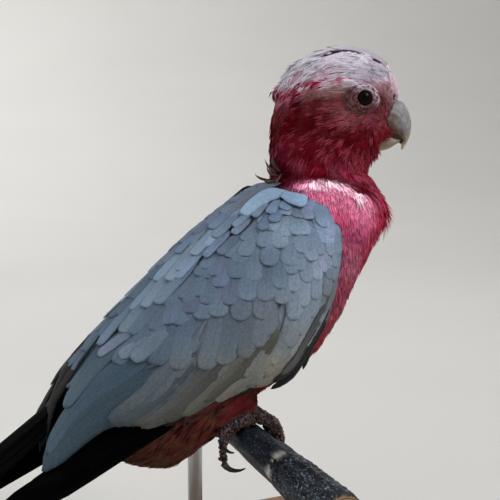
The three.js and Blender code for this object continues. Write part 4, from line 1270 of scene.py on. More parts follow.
def build_tail(material):
    """Twelve long feathers, stepped down from the middle pair on top to the outer ones."""
    sheet = tail_sheet()
    vanes = Vanes()
    for rank in reversed(range(6)):
        for side in SIDES.values():
            aside = side * (rank + 0.5) / 6
            root = (0.0, aside * 0.5)
            tip = (1 - TAIL["rounding"] * aside**2 / TAIL["length"], aside * 0.9)
            depth = 1.1 - 0.34 * rank + 0.1 * side
            # Their near black is painted shade over what are grey tail feathers.
            add_single(vanes, sheet, root, tip, 5.2, (depth, depth), 1.6, -0.15 * side, (4, 4, 6))
    vanes.build("tail_feathers", material, "flight_feathers", "tail")


# The crown's outside in the head's frame, on its left side, from the forehead to the nape.
CROWN_ROWS = {
    "top": [(13, 0, 13.8), (9, 0, 17.3), (2, 0, 21.2), (-7, 0, 23.1), (-16, 0, 22.3), (-25, 0, 18.9),
            (-33, 0, 14.2), (-40, 0, 6.8)],
    "middle": [(11.5, 5.5, 11), (9, 6.2, 14.6), (2, 8.6, 17.3), (-7, 9.2, 19.4), (-16, 9, 18.2),
               (-25, 8.5, 13.8), (-33, 7.5, 8.6), (-40, 4.5, 1.5)],
    "low": [(11, 8.8, 5), (8, 9.9, 7.8), (2, 12.6, 8.6), (-7, 15, 8.8), (-16, 15.6, 8.2), (-25, 15, 5.5),
            (-33, 13.4, 1), (-40, 8.3, -5)],
}
# The crown's feathers, from the deepest up: where they start and end along it, how many, between what
# places across it, half the width and how high the tips lie.
CROWN_TRACTS = [
    (5.0, 6.8, 8, (0.06, 0.7), 1.3, 0.4), (4.3, 6.2, 11, (0.04, 0.9), 1.3, 0.45),
    (3.6, 5.6, 13, (0.04, 1.0), 1.3, 0.5), (2.9, 4.9, 14, (0.04, 1.0), 1.25, 0.5),
    (2.3, 4.2, 15, (0.04, 1.0), 1.2, 0.5), (1.7, 3.5, 15, (0.04, 0.98), 1.1, 0.5),
    (1.1, 2.8, 14, (0.04, 0.94), 1.05, 0.5), (0.6, 2.1, 13, (0.04, 0.88), 0.95, 0.5),
    (0.1, 1.5, 11, (0.04, 0.8), 0.85, 0.45), (-0.3, 0.9, 9, (0.04, 0.7), 0.75, 0.4),
]
# The folded crest's plumes and the coloured feathers: root, tip, half the width, height and colour.
CREST = [
    ((4.4, 0.42), (6.4, 0.5), 1.2, 0.7, (206, 150, 172)),
    ((4.6, 0.62), (6.5, 0.66), 1.2, 0.7, (226, 206, 222)),
    ((4.2, 0.76), (5.9, 0.86), 1.1, 0.8, (168, 34, 62)),
    ((4.1, 0.84), (5.5, 0.98), 1.2, 0.8, (180, 50, 80)),
    ((3.9, 0.92), (5.2, 1.06), 1.1, 0.8, (150, 26, 50)),
    ((3.7, 0.88), (5.0, 0.95), 1.0, 0.9, (222, 190, 206)),
    ((3.0, 0.74), (4.4, 0.8), 0.8, 0.8, (190, 84, 116)),
    ((3.2, 0.8), (4.5, 0.9), 0.9, 0.8, (214, 160, 182)),
    ((5.4, 0.32), (6.8, 0.3), 1.2, 0.8, (170, 44, 70)),
    ((5.3, 0.2), (6.7, 0.14), 1.2, 0.7, (186, 76, 104)),
    # A dark plume under the white ones: painted shadow beneath the crest's lower edge.
    ((1.4, 0.47), (4.7, 0.25), 1.5, 1.5, (84, 48, 62)),
    ((0.9, 0.38), (4.2, 0.2), 1.5, 2.0, (214, 204, 222)),
    ((0.8, 0.3), (4.9, 0.14), 1.5, 2.2, (228, 220, 238)),
    ((0.8, 0.21), (5.5, 0.1), 1.5, 2.35, (220, 212, 230)),
    ((0.7, 0.12), (5.9, 0.06), 1.5, 2.45, (234, 228, 244)),
    ((0.7, 0.04), (6.2, 0.02), 1.5, 2.5, (226, 219, 237)),
]


def crown_sheet(side):
    """One half of the crown's outside."""
    rows = {key: on_head(np.array(row) * (1, side, 1)) for key, row in CROWN_ROWS.items()}
    return Sheet(rows_sheet(rows, 1).at, -side)


def build_crown(name, side, material):
    """The crown's sleek feathers, and the plumes of the folded crest over them."""
    sheet = crown_sheet(side)
    vanes = Vanes()
    for start, end, count, (first, last), half, height in CROWN_TRACTS:
        across = np.linspace(first, last, count) + chance.normal(0, 0.02, count)
        roots = np.stack([start + chance.normal(0, 0.12, count), across], axis=1)
        tip_runs = end + chance.normal(0, 0.16, count)
        tips = np.stack([tip_runs, across + chance.normal(0.01, 0.02, count)], axis=1)
        tones = chance.choice([0.62, 0.86, 1.0, 1.05], (count, 1))
        pale = linear(234, 226, 244) * (1 - 0.16 * across[:, None]) * tones
        vanes.add(sheet, straight(roots, tips), np.full(count, half), pale, (-0.7, height), 5.0, 0.3 * side)
    add_singles(vanes, sheet, [(*row[:4], 4.0, row[4]) for row in CREST], 0.25 * side)
    vanes.build(f"crown_feathers_{name}", material, "plumage_crown", cover=False)


# The back's feathers between the wings: the middle line along it, the half width and the colour.
BACK_LINE = [(21, 0, 116.5), (12, 0, 113.5), (-4, 0, 104.8), (-22, 0, 91.8), (-42, 0, 72.8), (-61, 0, 53.8),
             (-77, 0, 36)]
BACK_HALF = [13, 10, 6, 5, 5, 6, 9]


def back_sheet():
    """The strip of back between the wings, which falls off to both sides."""
    slope = np.array([-0.7, 0, 0.7])

    def at(places):
        run, across = np.clip(places[..., 0], 0, 6), places[..., 1:2]
        half = through(np.array(BACK_HALF, float)[:, None], run)
        return through(BACK_LINE, run) + [0, 1, 0] * half * across + slope * (1.0 - 1.6 * across**2)

    return Sheet(at, -1)


def build_back(material):
    """Overlapping rows of feathers down the back, from the lowest up."""
    sheet = back_sheet()
    vanes = Vanes()
    for end in np.arange(6.0, 0.7, -0.38):
        count = 3 if end > 2.2 else 6
        across = np.linspace(-0.75, 0.75, count) + chance.normal(0, 0.06, count)
        tips = np.stack([end + chance.normal(0, 0.06, count), across], axis=1)
        roots = np.stack([tips[:, 0] - 0.85, across * 0.9], axis=1)
        tone = linear(112, 128, 150) if end < 4 else linear(92, 110, 130)
        colours = np.repeat(tone[None], count, axis=0)
        vanes.add(sheet, straight(roots, tips), np.full(count, 3.4), colours, (-0.9, 0.3), 1.0, 0.1)
    vanes.build("back_feathers", material, "plumage_grey")


def build_vanes():
    """Every closed feather. Each side of the crown comes last."""
    grey = vane_material("wing_vanes", 0.65, 0.09, 0.15)
    dark = vane_material("flight_vanes", 0.75, 0.1, 0.02)
    down = down_material()
    for name, side in SIDES.items():
        build_wing(name, side, grey, down)
        build_primaries(name, side, dark)
    build_tail(dark)
    build_back(grey)
    # The crown's vanes have a darker painted shadow line round their tips.
    crown = vane_material("crown_vanes", 0.75, 0.07, 0.1, shadow_line_tone=0.5)
    for name, side in SIDES.items():
        build_crown(name, side, crown)


build_vanes()

# ---- Loose feathers of the head and body ---------------------------------------------------------------
# Each is a tuft of thin strands that starts on the skin, follows it the way the plumage lies, and rises.

STRANDS = 5
SPINE_POINTS = 4
CELL = 0.003  # how much of the unwrapped skin each tuft's patch takes
# How far apart the tufts stand, and the regions where they do.
SPACINGS = [(1.2, ["face"]), (1.65, ["cheek", "crown", "nape"]), (1.85, ["neck", "breast"]), (2.2, ["belly"])]
DOWN = {"at": (13, 0, 113), "radius": 11, "spacing": 2.0}  # the fluff between the wings' tops
TUFTS_A_PIECE = 2400


def sites(spacing):
    """Scattered places on the skin, about evenly spaced."""
    a, b, c, d = np.moveaxis(skin_points[skin_faces], 1, 0)
    areas = np.linalg.norm(np.cross(c - a, d - b), axis=1) / 2
    count = int(6 * areas.sum() / spacing**2)
    chosen = chance.choice(len(areas), count, p=areas / areas.sum())
    right, up = chance.random((2, count, 1))
    near = a[chosen] * (1 - right) + b[chosen] * right
    far = d[chosen] * (1 - right) + c[chosen] * right
    places = near * (1 - up) + far * up
    _, first = np.unique(np.floor(places / spacing).astype(int), axis=0, return_index=True)
    return places[first]


def is_open(places):
    """Whether nothing but loose feathers covers the skin there: no wing, tail, bill, toe or eye ring."""
    outside = np.ones(len(places), bool)
    for side in SIDES.values():
        out, radius, _ = round_eye(places, side)
        outside &= (radius > 8.2) | (out < -3)
        outside &= from_nostril(places, side) > 2.5
    for index in np.flatnonzero(outside):
        place, normal, _, _ = skin_tree.find_nearest(places[index])
        hit = vane_tree.ray_cast(place, normal, 9)[0]
        by_bill = horn_tree.find_nearest(places[index])[3] < 0.6
        by_toes = toe_tree.find_nearest(places[index])[3] < 2.4
        outside[index] = (hit is None) and not by_bill and not by_toes
    return outside


vane_tree = tree_of(*joined(covers))
horn_tree = solids_tree("bill_upper", "bill_lower")


def on_skin(points):
    """The nearest places of the skin and its normals there."""
    found = [skin_tree.find_nearest(point)[:2] for point in points]
    return np.array([place for place, _ in found]), np.array([normal for _, normal in found])


def spines(roots, lengths):
    """Paths along the skin from the roots, the way the plumage lies."""
    place, normal = on_skin(roots)
    path, facing = [place], [normal]
    for _ in range(SPINE_POINTS - 1):
        way = along_surface(plumage_at(place, "lie"), normal)
        place, normal = on_skin(place + way * (lengths / (SPINE_POINTS - 1))[:, None])
        path.append(place)
        facing.append(normal)
    return np.stack(path, axis=1), np.stack(facing, axis=1)


def along_path(path, place):
    """Values between a path's rows, for one path and many places on it a row."""
    low = np.clip(np.floor(place).astype(int), 0, path.shape[1] - 2)
    part = (place - low)[..., None]
    row = np.arange(len(path)).reshape(-1, *[1] * (place.ndim - 1))
    return path[row, low] * (1 - part) + path[row, low + 1] * part


BODY_AXIS = [(38, -4, 190), (38, -4, 150), (45, 0, 120), (20, 0, 70), (-20, 0, 30), (-70, 0, 8)]


def unwrapped(points):
    """Where places of the skin lie on its unwrap round the body's axis, from 0 to 1 both ways."""
    axis = np.array(BODY_AXIS, float)
    best = np.full(len(points), np.inf)
    result = np.zeros((len(points), 2))
    lengths = np.linalg.norm(np.diff(axis, axis=0), axis=1)
    for index, (a, b) in enumerate(zip(axis, axis[1:])):
        way = (b - a) / lengths[index]
        share = np.clip((points - a) @ way, 0, lengths[index])
        out = points - a - share[:, None] * way
        distance = np.linalg.norm(out, axis=1)
        back = unit(np.cross([0, 1, 0], way))
        turn = np.arctan2(out[:, 1], out @ back) / (2 * math.pi) + 0.5
        run = (lengths[:index].sum() + share) / lengths.sum()
        nearer = distance < best
        best[nearer] = distance[nearer]
        result[nearer] = np.stack([turn, run], axis=1)[nearer]
    return 0.01 + 0.97 * result


# The upper edge of the pink collar round the breast: how far forward, and how high.
COLLAR = np.array([(26, 117.5), (34, 119), (41, 118), (47, 115), (52, 112.5), (57, 111.5)])
CHEST_TUFT = (71, 11, 107)  # the middle of the feathers that stand out in front, on the left


def streaked(roots, colour, sizes):
    """The tufts' colours, with some of them red among the pale ones of the crown's side, pink among the
    red of the cheek, or brown at the vent."""
    ahead, _, high = in_head(roots).T
    temple = band(2, 7, 9, 13, high) * smoothstep(2, -8, ahead)
    behind = band(-2, 4, 10, 15, high) * smoothstep(-24, -32, ahead)
    cheek = band(-38, -30, -3, 2, high)
    vent = smoothstep(30, 22, roots[:, 2]) * smoothstep(-4, -14, roots[:, 0]) > 0.5
    draw = chance.random(len(roots)) - 0.3 * noise_at(roots, (0.16, 0.16, 0.3))
    red = (draw < 0.34 * temple + 0.36 * behind) & (temple + behind > 0.05)
    rosy = red & (chance.random(len(roots)) < 0.45)
    pink = (draw > 1 - 0.18 * cheek) & (cheek > 0.05)
    for where, tone, share in (
        (red, (146, 30, 54), 1.0),
        (rosy, (204, 112, 140), 1.0),
        (pink, (186, 84, 108), 0.55),
        (vent & (draw < 0.2), (76, 28, 30), 1.0),
        (vent & (draw > 0.8), (100, 72, 58), 1.0),
    ):
        colour = blend(colour, linear(*tone), share * where)
    return collared(roots, colour, sizes)


def collared(roots, colour, sizes):
    """The tufts' colours and sizes with the collar's pale edge, whose feathers stand out more, and with the
    tuft on the chest. The white blobs along the collar's top are painted highlight, and the pale pink puff
    under them is pink plumage with painted highlight, in colours over 255. How softly they are shaded comes
    with them."""
    ahead = roots[:, 0]
    below = np.interp(ahead, *COLLAR.T) - roots[:, 2]
    outer = smoothstep(7, 12, np.abs(roots[:, 1])) * band(18, 24, 56, 64, ahead)
    fringe = band(-1, 0.5, 1.4, 3.6, below) * outer
    # The puff's pale pink is partly painted highlight on the top of the breast.
    puff = band(-1, 1, 5, 13, below) * outer
    above = band(-9, -4, -1.5, -0.5, below) * outer
    blobs = 0.55 + 0.45 * smoothstep(-0.6, 0.6, np.sin((ahead - 31) * 0.74))
    # Painted highlight: white blobs along the collar's top edge.
    painted_highlight = fringe * band(29, 34, 53, 57, ahead) * blobs
    chest = np.exp(-((np.linalg.norm(np.abs(roots) - CHEST_TUFT, axis=1) / 5) ** 2))
    for share, tone in (
        (chest, (176, 26, 54)),
        (above, (116, 10, 28)),
        (puff, (268, 160, 204)),
        (painted_highlight, (316, 290, 304)),
    ):
        colour = blend(colour, linear(*tone), 0.85 * share)
    pale = np.maximum(puff, fringe)
    length, width, lift = sizes.T
    lift = lift + 1.2 * fringe * smoothstep(60, 54, ahead) - 0.7 * puff + 5 * chest
    sizes = np.stack([length * (1 - 0.35 * above), width * (1 + 0.4 * pale), lift], axis=1)
    return colour, sizes, np.maximum(0.4 * outer, pale)


def sleekness(roots):
    """Where the strands lie smooth, as on the crown: 1 there, 0 elsewhere."""
    head = in_head(roots)
    return smoothstep(9, 14, head[:, 2] + 0.25 * np.minimum(head[:, 0] + 5, 0))


# A strand has three rings of three points, at stops along it, and its tip. Its shades run from the dark root
# to the tip, as usual, where the coat is sleek and where it is soft. The dark roots are partly the feathers'
# own darker bases and partly painted shade under the strands above; the bright tips are partly paler tips,
# partly painted highlight.
STRAND_STOPS = np.array([0, 0.4, 0.75, 1])
STRAND_WIDTHS = np.array([0.35, 0.55, 0.42])
STRAND_SHADES = [(0.5, 0.88, 1.06, 1.2), (0.55, 0.95, 1.0, 1.0), (0.95, 1.0, 1.05, 1.08)]
STRAND_UV = np.array([(u, v) for v in (0, 0.4, 0.8) for u in (0, 0.5, 1)] + [(0.5, 1)])
STRAND_QUADS = [(r + c, r + (c + 1) % 3, r + 3 + (c + 1) % 3, r + 3 + c) for r in (0, 3) for c in range(3)]
STRAND_ENDS = [(6, 7, 9), (7, 8, 9), (8, 6, 9), (0, 2, 1)]
STRAND_FACES = [np.array(STRAND_QUADS), np.array(STRAND_ENDS)]


def strand_points(roots, sizes, sleek):
    """The points of every tuft's strands, which fan out along the skin and rise from it."""
    count = len(roots)
    path, facing = spines(roots, sizes[:, 0] * chance.uniform(0.8, 1.15, count))
    place = np.arange(STRANDS) - (STRANDS - 1) / 2
    aside = (place + chance.uniform(-0.35, 0.35, (count, STRANDS))) / (STRANDS / 2)
    reach = (1 - 0.2 * aside**2) * chance.uniform(0.78, 1.0, (count, STRANDS))
    at = reach[..., None] * STRAND_STOPS * (SPINE_POINTS - 1)
    normal = unit(along_path(facing, at))
    across = unit(np.cross(normal, along_path(np.gradient(path, axis=1), at)))
    half = (sizes[:, 1] * STRANDS / 2)[:, None, None]
    sway = chance.normal(0, 0.3, (count, STRANDS, 1)) * STRAND_STOPS**2
    sway = sway + chance.normal(0, 0.5, (count, 1, 1)) * STRAND_STOPS**1.5
    shift = half * (aside[..., None] * (0.55 + 0.6 * STRAND_STOPS) + sway)
    lift = (sizes[:, 2] * chance.uniform(0.6, 1.25, count))[:, None, None]
    uneven = chance.normal(0, 0.12, (count, STRANDS, 1)) * (1 - 0.6 * sleek)
    rise = 0.1 + lift * STRAND_STOPS**1.2 + uneven * STRAND_STOPS
    rise = rise - 0.25 * half * aside[..., None] ** 2 + 0.95 * sleek
    centre = along_path(path, at) + across * shift[..., None] + normal * rise[..., None]
    width = sizes[:, 1][:, None, None] * STRAND_WIDTHS * chance.uniform(0.8, 1.2, (count, STRANDS, 1))
    rings = centre[:, :, :3]
    edge = across[:, :, :3] * width[..., None]
    ridge = normal[:, :, :3] * (width[..., None] * 0.9)
    rings = np.stack([rings - edge, rings + ridge, rings + edge], axis=3).reshape(count, STRANDS, 9, 3)
    return np.concatenate([rings, centre[:, :, 3:]], axis=2)


def strand_tones(count, sleek, soft):
    """How light each point of every tuft's strands is."""
    plain, sleek_shade, soft_shade = np.repeat(STRAND_SHADES, [3, 3, 3, 1], axis=1)
    shade = plain + sleek * (sleek_shade - plain)
    shade = shade + soft * (soft_shade - shade)
    tone = chance.uniform(0.8, 1.2, (count, 1, 1)) * chance.uniform(0.88, 1.12, (count, STRANDS, 1))
    tone = tone + 0.6 * sleek * (1 - tone)
    dark = (chance.random((count, STRANDS, 1)) < 0.13) * sleek
    return shade * tone * (1 - 0.5 * dark)


def tufts(name, roots, slot, material):
    """One piece that holds every tuft at the given roots."""
    count = len(roots)
    colour, sizes, soft = streaked(roots, *plumage_at(roots, "colour", "sizes"))
    sleek = sleekness(roots)[:, None, None]
    points = strand_points(roots, sizes, sleek)
    colours = colour[:, None, None] * strand_tones(count, sleek, soft[:, None, None])[..., None]
    aside = (STRAND_UV[:, 0] + np.arange(STRANDS)[:, None]) / STRANDS
    patch = np.stack([aside, np.broadcast_to(STRAND_UV[:, 1], aside.shape)], axis=-1)
    first = (np.arange(count * STRANDS) * len(STRAND_UV))[:, None, None]
    faces = [(first + part).reshape(-1, part.shape[1]) for part in STRAND_FACES]
    piece = new_object(name, points.reshape(-1, 3), faces)
    set_colour(piece, "markings", colours.reshape(-1, 3))
    set_uv(piece, "OFBake", (unwrapped(roots)[:, None, None] + CELL * patch).reshape(-1, 2))
    finished(piece, material, slot)


def region(places):
    """The names of the regions of the coat that places are in."""
    ahead, _, high = in_head(places).T
    names = np.full(len(places), "belly", dtype="<U8")
    names[places[:, 2] > 60] = "breast"
    names[places[:, 2] > 108] = "neck"
    names[high > -22] = "cheek"
    names[(high > -22) & (ahead < -22)] = "nape"
    names[(high > 9) | ((high > 4) & (ahead < 6))] = "crown"
    names[np.linalg.norm((in_head(places) - FACE) * (1, 1, 0.85), axis=1) < 17] = "face"
    return names


def build_coat():
    """Every loose feather, region by region, and fewer of them where the coat is sleek."""
    material = coat_material()
    found = {}
    for spacing, names in SPACINGS:
        places = sites(spacing)
        places = places[np.isin(region(places), names)]
        places = places[is_open(places)]
        places = places[chance.random(len(places)) > 0.5 * sleekness(places)]
        for name in names:
            found[name] = places[region(places) == name]
    places = sites(DOWN["spacing"])
    found["down"] = places[np.linalg.norm(places - DOWN["at"], axis=1) < DOWN["radius"]]
    for name, roots in found.items():
        slot = "plumage_crown" if name == "crown" else "plumage_rose"
        for index, part in enumerate(np.array_split(roots, math.ceil(len(roots) / TUFTS_A_PIECE))):
            tufts(f"feathers_{name}_{index}", part, slot, material)


build_coat()

# ---- Eyes, bill, claws and scales ----------------------------------------------------------------------


def ringed(rings):
    """One closed surface from rings of points, with its ends closed by fans."""
    count, sides = rings.shape[:2]
    grid = np.arange(count * sides).reshape(count, sides)
    after = np.roll(grid, -1, axis=1)
    quads = np.stack([grid[:-1], after[:-1], after[1:], grid[1:]], axis=-1).reshape(-1, 4)
    first, last = count * sides, count * sides + 1
    start = np.stack([after[0], grid[0], np.full(sides, first)], axis=-1)
    end = np.stack([grid[-1], after[-1], np.full(sides, last)], axis=-1)
    points = np.concatenate([rings.reshape(-1, 3), [rings[0].mean(axis=0), rings[-1].mean(axis=0)]])
    return points, [quads, np.concatenate([start, end])]


def turned(centre, axis, radii, heights, sides):
    """Rings of points round an axis, from radii and heights along it."""
    aside = unit(np.cross(axis, (0.3, 0.2, 1) if abs(axis[2]) < 0.9 else (1, 0, 0)))
    other = np.cross(axis, aside)
    angle = np.linspace(0, 2 * math.pi, sides, endpoint=False)
    round_axis = np.cos(angle)[:, None] * aside + np.sin(angle)[:, None] * other
    rings = np.array(radii, float)[:, None, None] * round_axis
    return np.array(centre) + rings + np.array(heights, float)[:, None, None] * axis


def build_eye(name, side, material):
    """A ball with a clear bulge over the pupil."""
    axis = eye_axis(side)
    polar = np.radians(np.linspace(1.5, 178, 40))
    radius = EYE_RADIUS - 0.05 + 0.3 * np.exp(-((polar / 0.42) ** 2))
    rings = turned(EYES[name], axis, radius * np.sin(polar), radius * np.cos(polar), 48)
    points, faces = ringed(rings[:, ::side])
    piece = new_object(f"eyeball_{name}", points, faces)
    offset = unit(points - EYES[name])
    set_value(piece, "from_pupil", np.arccos(np.clip(offset @ axis, -1, 1)))
    finished(piece, material, "eye", f"eye_{name}")


def bill_tone(head):
    """The upper half's colour: grey, brown behind and below, olive at the tip, and pale along the ridge as a
    painted highlight.
    """
    ahead, aside, high = head.T
    tone = linear(140, 137, 141)
    for share, colour in (
        (0.9 * smoothstep(18.5, 13.5, ahead) * smoothstep(-5, -11, high), (122, 100, 84)),
        (0.8 * smoothstep(-12.5, -16, high) * smoothstep(21, 18, ahead), (92, 64, 48)),
        (0.8 * smoothstep(-15, -20, high), (158, 132, 96)),
        # Painted highlight along the ridge.
        (0.8 * smoothstep(2.6, 0.8, np.abs(aside)) * smoothstep(12, 15, ahead), (198, 190, 172)),
    ):
        tone = blend(tone, linear(*colour), share)
    return tone


def build_bill():
    """The bill's two halves, with growth lines and flakes, and the mouth between them."""
    material = horn_material("bill_horn", 0.4)
    for part, depth in (("upper", 0.045), ("lower", 0.03)):
        points, faces = remeshed([node_mesh(f"bill_{part}")], 0.33, 0.0)
        points = smoothed(points, faces, 14)
        head = in_head(points)
        arc = np.hypot(head[:, 0] - 6, head[:, 2] + 20)
        growth = np.sin(arc * 2.6 + 1.3 * np.sin(head[:, 1] * 0.9) + 2.1 * np.sin(head[:, 2] * 0.31))
        flakes = fractal_at(head, 0.55, 3)
        points = points + normals_of(points, faces) * (depth * (0.5 * growth + 0.9 * flakes))[:, None]
        tone = bill_tone(head) if part == "upper" else linear(140, 121, 103)
        tone = tone * (1 + 0.06 * growth + 0.35 * flakes)[:, None]
        piece = new_object(f"{part}_bill", points, [faces])
        set_colour(piece, "markings", np.clip(tone, 0.005, 1))
        finished(piece, material, "bill", f"bill_{part}")
    # The mouth between the two halves: both grown until they meet, and then drawn in under the horn. Its dark
    # colour is painted shade in the gap between the halves.
    points, faces = remeshed([node_mesh("bill_upper"), node_mesh("bill_lower")], 0.4, 1.0)
    points = smoothed(points, faces, 6)
    mouth = new_object("mouth", points - 1.45 * normals_of(points, faces), [faces])
    set_colour(mouth, "markings", linear(44, 26, 22) * np.ones((len(points), 1)))
    finished(mouth, material, "bill")


def build_claws(name, material):
    """The four claws of a foot, worn pale near the toes and dark towards the tips."""
    nodes = [f"claw_{name}_{toe}" for toe in TOES]
    points, faces = remeshed([node_mesh(node) for node in nodes], 0.24, 0.0)
    points = smoothed(points, faces, 8)
    ridges = noise_at(points, 2.2)
    points = points + normals_of(points, faces) * (0.05 * ridges)[:, None]
    piece = new_object(f"claws_{name}", points, [faces])
    toes = np.concatenate([node_mesh(f"toe_{name}_{toe}")[0] for toe in TOES])
    reach = np.min(np.linalg.norm(points[:, None] - toes[None, ::7], axis=2), axis=1)
    tone = blend(linear(96, 84, 78), linear(24, 21, 22), smoothstep(0.5, 4.5, reach))
    set_colour(piece, "markings", tone * (1 + 0.35 * ridges)[:, None])
    finished(piece, material, "claw", *nodes)


SCALE_SIDES = 6


def build_scales(name, side, material):
    """Small horny plates over a foot's toes, each a low dome that overlaps the next a little."""
    places = sites(0.95)
    places = places[(places[:, 1] * side > 0) & (places[:, 2] < 23)]
    places = places[[toe_tree.find_nearest(place)[3] < 1.7 for place in places]]
    place, normal = on_skin(places)
    count = len(place)
    along = unit(np.cross(normal, np.cross([0.2, 0.0, -1.0], normal) + 1e-3))
    across = np.cross(normal, along)
    size = chance.uniform(0.5, 0.8, count)[:, None, None]
    angle = np.linspace(0, 2 * math.pi, SCALE_SIDES, endpoint=False)[:, None]
    angle = angle + chance.uniform(0, 1, (count, 1, 1))
    rim = np.cos(angle) * along[:, None] * 1.15 + np.sin(angle) * across[:, None]
    low = place[:, None] + size * rim - 0.12 * normal[:, None]
    shoulder = place[:, None] + 0.68 * size * rim + 0.34 * normal[:, None]
    top = place[:, None] + normal[:, None] * chance.uniform(0.5, 0.95, (count, 1, 1))
    points = np.concatenate([low, shoulder, top], axis=1)
    ring = np.arange(SCALE_SIDES)
    after = np.roll(ring, -1)
    sides = np.stack([ring, after, after + SCALE_SIDES, ring + SCALE_SIDES], axis=-1)
    underside = [(5, 4, 3, 2), (5, 2, 1, 0)]
    fans = np.stack([ring + SCALE_SIDES, after + SCALE_SIDES, np.full(SCALE_SIDES, 2 * SCALE_SIDES)], axis=-1)
    first = (np.arange(count) * (2 * SCALE_SIDES + 1))[:, None, None]
    quads = (first + np.concatenate([sides, underside])).reshape(-1, 4)
    piece = new_object(f"foot_scales_{name}", points.reshape(-1, 3), [quads, (first + fans).reshape(-1, 3)])
    violet = smoothstep(0.05, 0.4, noise_at(places, 0.3) + chance.normal(0, 0.12, count))
    tone = blend(linear(84, 60, 50), linear(96, 76, 98), violet)
    tone = tone * chance.uniform(0.45, 1.0, (count, 1)) * chance.choice([0.35, 1.0, 1.9], (count, 1))
    set_colour(piece, "markings", np.repeat(tone, 2 * SCALE_SIDES + 1, axis=0))
    rim, middle = rim[..., :2], np.full((count, 1, 2), 0.5)
    patch = np.concatenate([rim * 0.3 + 0.5, rim * 0.2 + 0.5, middle], axis=1)
    set_uv(piece, "OFBake", (unwrapped(places)[:, None] + CELL * patch).reshape(-1, 2))
    finished(piece, material, "scaled_skin")


# A moulting bird's stray pin feathers at the nape: root, bend and tip in the bird's frame, and radius.
QUILLS = [
    ((22, -4, 121), (16, -6, 124), (17, -7, 129), 0.55),
    ((21, -5, 119), (14, -7, 119), (13.5, -8, 124), 0.45),
    ((20, -5, 117), (14.5, -7, 115), (11.5, -8, 117.5), 0.6),
    ((22, -6, 120), (18, -9, 116), (15, -10, 113), 0.4),
    ((21, -2, 120), (17, 0, 123), (17, 2, 127), 0.4),
    ((20, 2, 117), (15, 4, 117), (13, 5, 120), 0.45),
]


def build_quills(material):
    """Short curved quills, flat and widest in the middle."""
    parts = []
    share = np.linspace(0, 1, 9)[:, None]
    angle = np.linspace(0, 2 * math.pi, 7, endpoint=False)[:, None]
    for root, bend, tip, radius in QUILLS:
        line = (1 - share) ** 2 * root + 2 * share * (1 - share) * bend + share**2 * tip
        way = unit(np.gradient(line, axis=0))
        aside = unit(np.cross(way, (0, 1, 0.2)))
        other = np.cross(way, aside)
        size = (radius * (1 + 0.6 * np.sin(math.pi * share)) * (1.02 - share**3))[:, None]
        rings = line[:, None] + size * (np.cos(angle) * aside[:, None] + 0.6 * np.sin(angle) * other[:, None])
        parts.append(ringed(rings))
    points, quads = joined([(points, quads) for points, (quads, _) in parts])
    _, fans = joined([(points, fans) for points, (_, fans) in parts])
    piece = new_object("nape_quills", points, [quads, fans])
    shade = np.clip(0.6 + 0.8 * noise_at(points, 0.4), 0.15, 2)
    set_colour(piece, "markings", linear(96, 66, 46) * shade[:, None])
    finished(piece, material, "plumage_grey")


def build_small_parts():
    """Eyes, claws and scales for both sides, and then the bill and the quills."""
    eye, claw, scale = eye_material(), horn_material("claw_horn", 0.35), scale_material()
    for name, side in SIDES.items():
        build_eye(name, side, eye)
        build_claws(name, claw)
        build_scales(name, side, scale)
    build_bill()
    build_quills(horn_material("quill_horn", 0.5))


build_small_parts()

# ---- The branch and its stand --------------------------------------------------------------------------

# Where the branch is scuffed: where along it, how far, and on which side.
WORN = {"at": -58, "reach": 2.5, "side": (-0.75, -0.3, 0.35)}


def build_perch():
    """The branch: ridged weathered wood, scuffed in one place."""
    points, faces = remeshed([node_mesh("perch")], 0.75, 0.0)
    points = smoothed(points, faces, 10)
    normals = normals_of(points, faces)
    at_end = smoothstep(0.75, 0.95, np.abs(normals[:, 1]))
    ridges = fractal_at(points, (0.42, 0.05, 0.42), 4)
    lumps = noise_at(points, (0.09, 0.06, 0.09))
    rough = smoothstep(-57, -63, points[:, 1])
    knobs = fractal_at(points, 0.5, 3)
    relief = 0.35 * ridges + 0.5 * lumps + rough * (0.35 + 0.45 * knobs)
    points = points + normals * (relief * (1 - at_end))[:, None]
    worn = np.exp(-(((points[:, 1] - WORN["at"]) / WORN["reach"]) ** 2))
    worn = worn * smoothstep(0.35, 0.8, normals @ unit(WORN["side"]))
    piece = new_object("branch", points, [faces])
    set_value(piece, "worn", worn * smoothstep(-0.1, 0.25, ridges + 0.5 * knobs + 0.1))
    set_value(piece, "rough", rough)
    set_value(piece, "sawn", at_end)
    finished(piece, bark_material(), "bark", "perch")


UPRIGHT = np.array([0.0, 0, 1])
ROD_RADIUS = 4.0
CORNER_RADIUS = 20
CORNER_STEPS = 14
# The board's edge, from the underside up: how far in, and how high.
MOULDING = [(3, 0), (0.8, 0), (0, 0.8), (0, 6.2), (0.9, 7.2), (1.1, 7.8), (0.9, 8.4), (0.6, 9), (0.7, 11),
            (1.5, 12.9), (2.8, 13.8), (4.5, 14), (10, 14)]
# The collar at a rod's foot: its radii and heights over the board.
ROD_COLLAR = [(7.6, 0.06), (8, 0.5), (8, 1.9), (7.4, 2.6), (5.4, 3.0), (4.8, 3.6)]


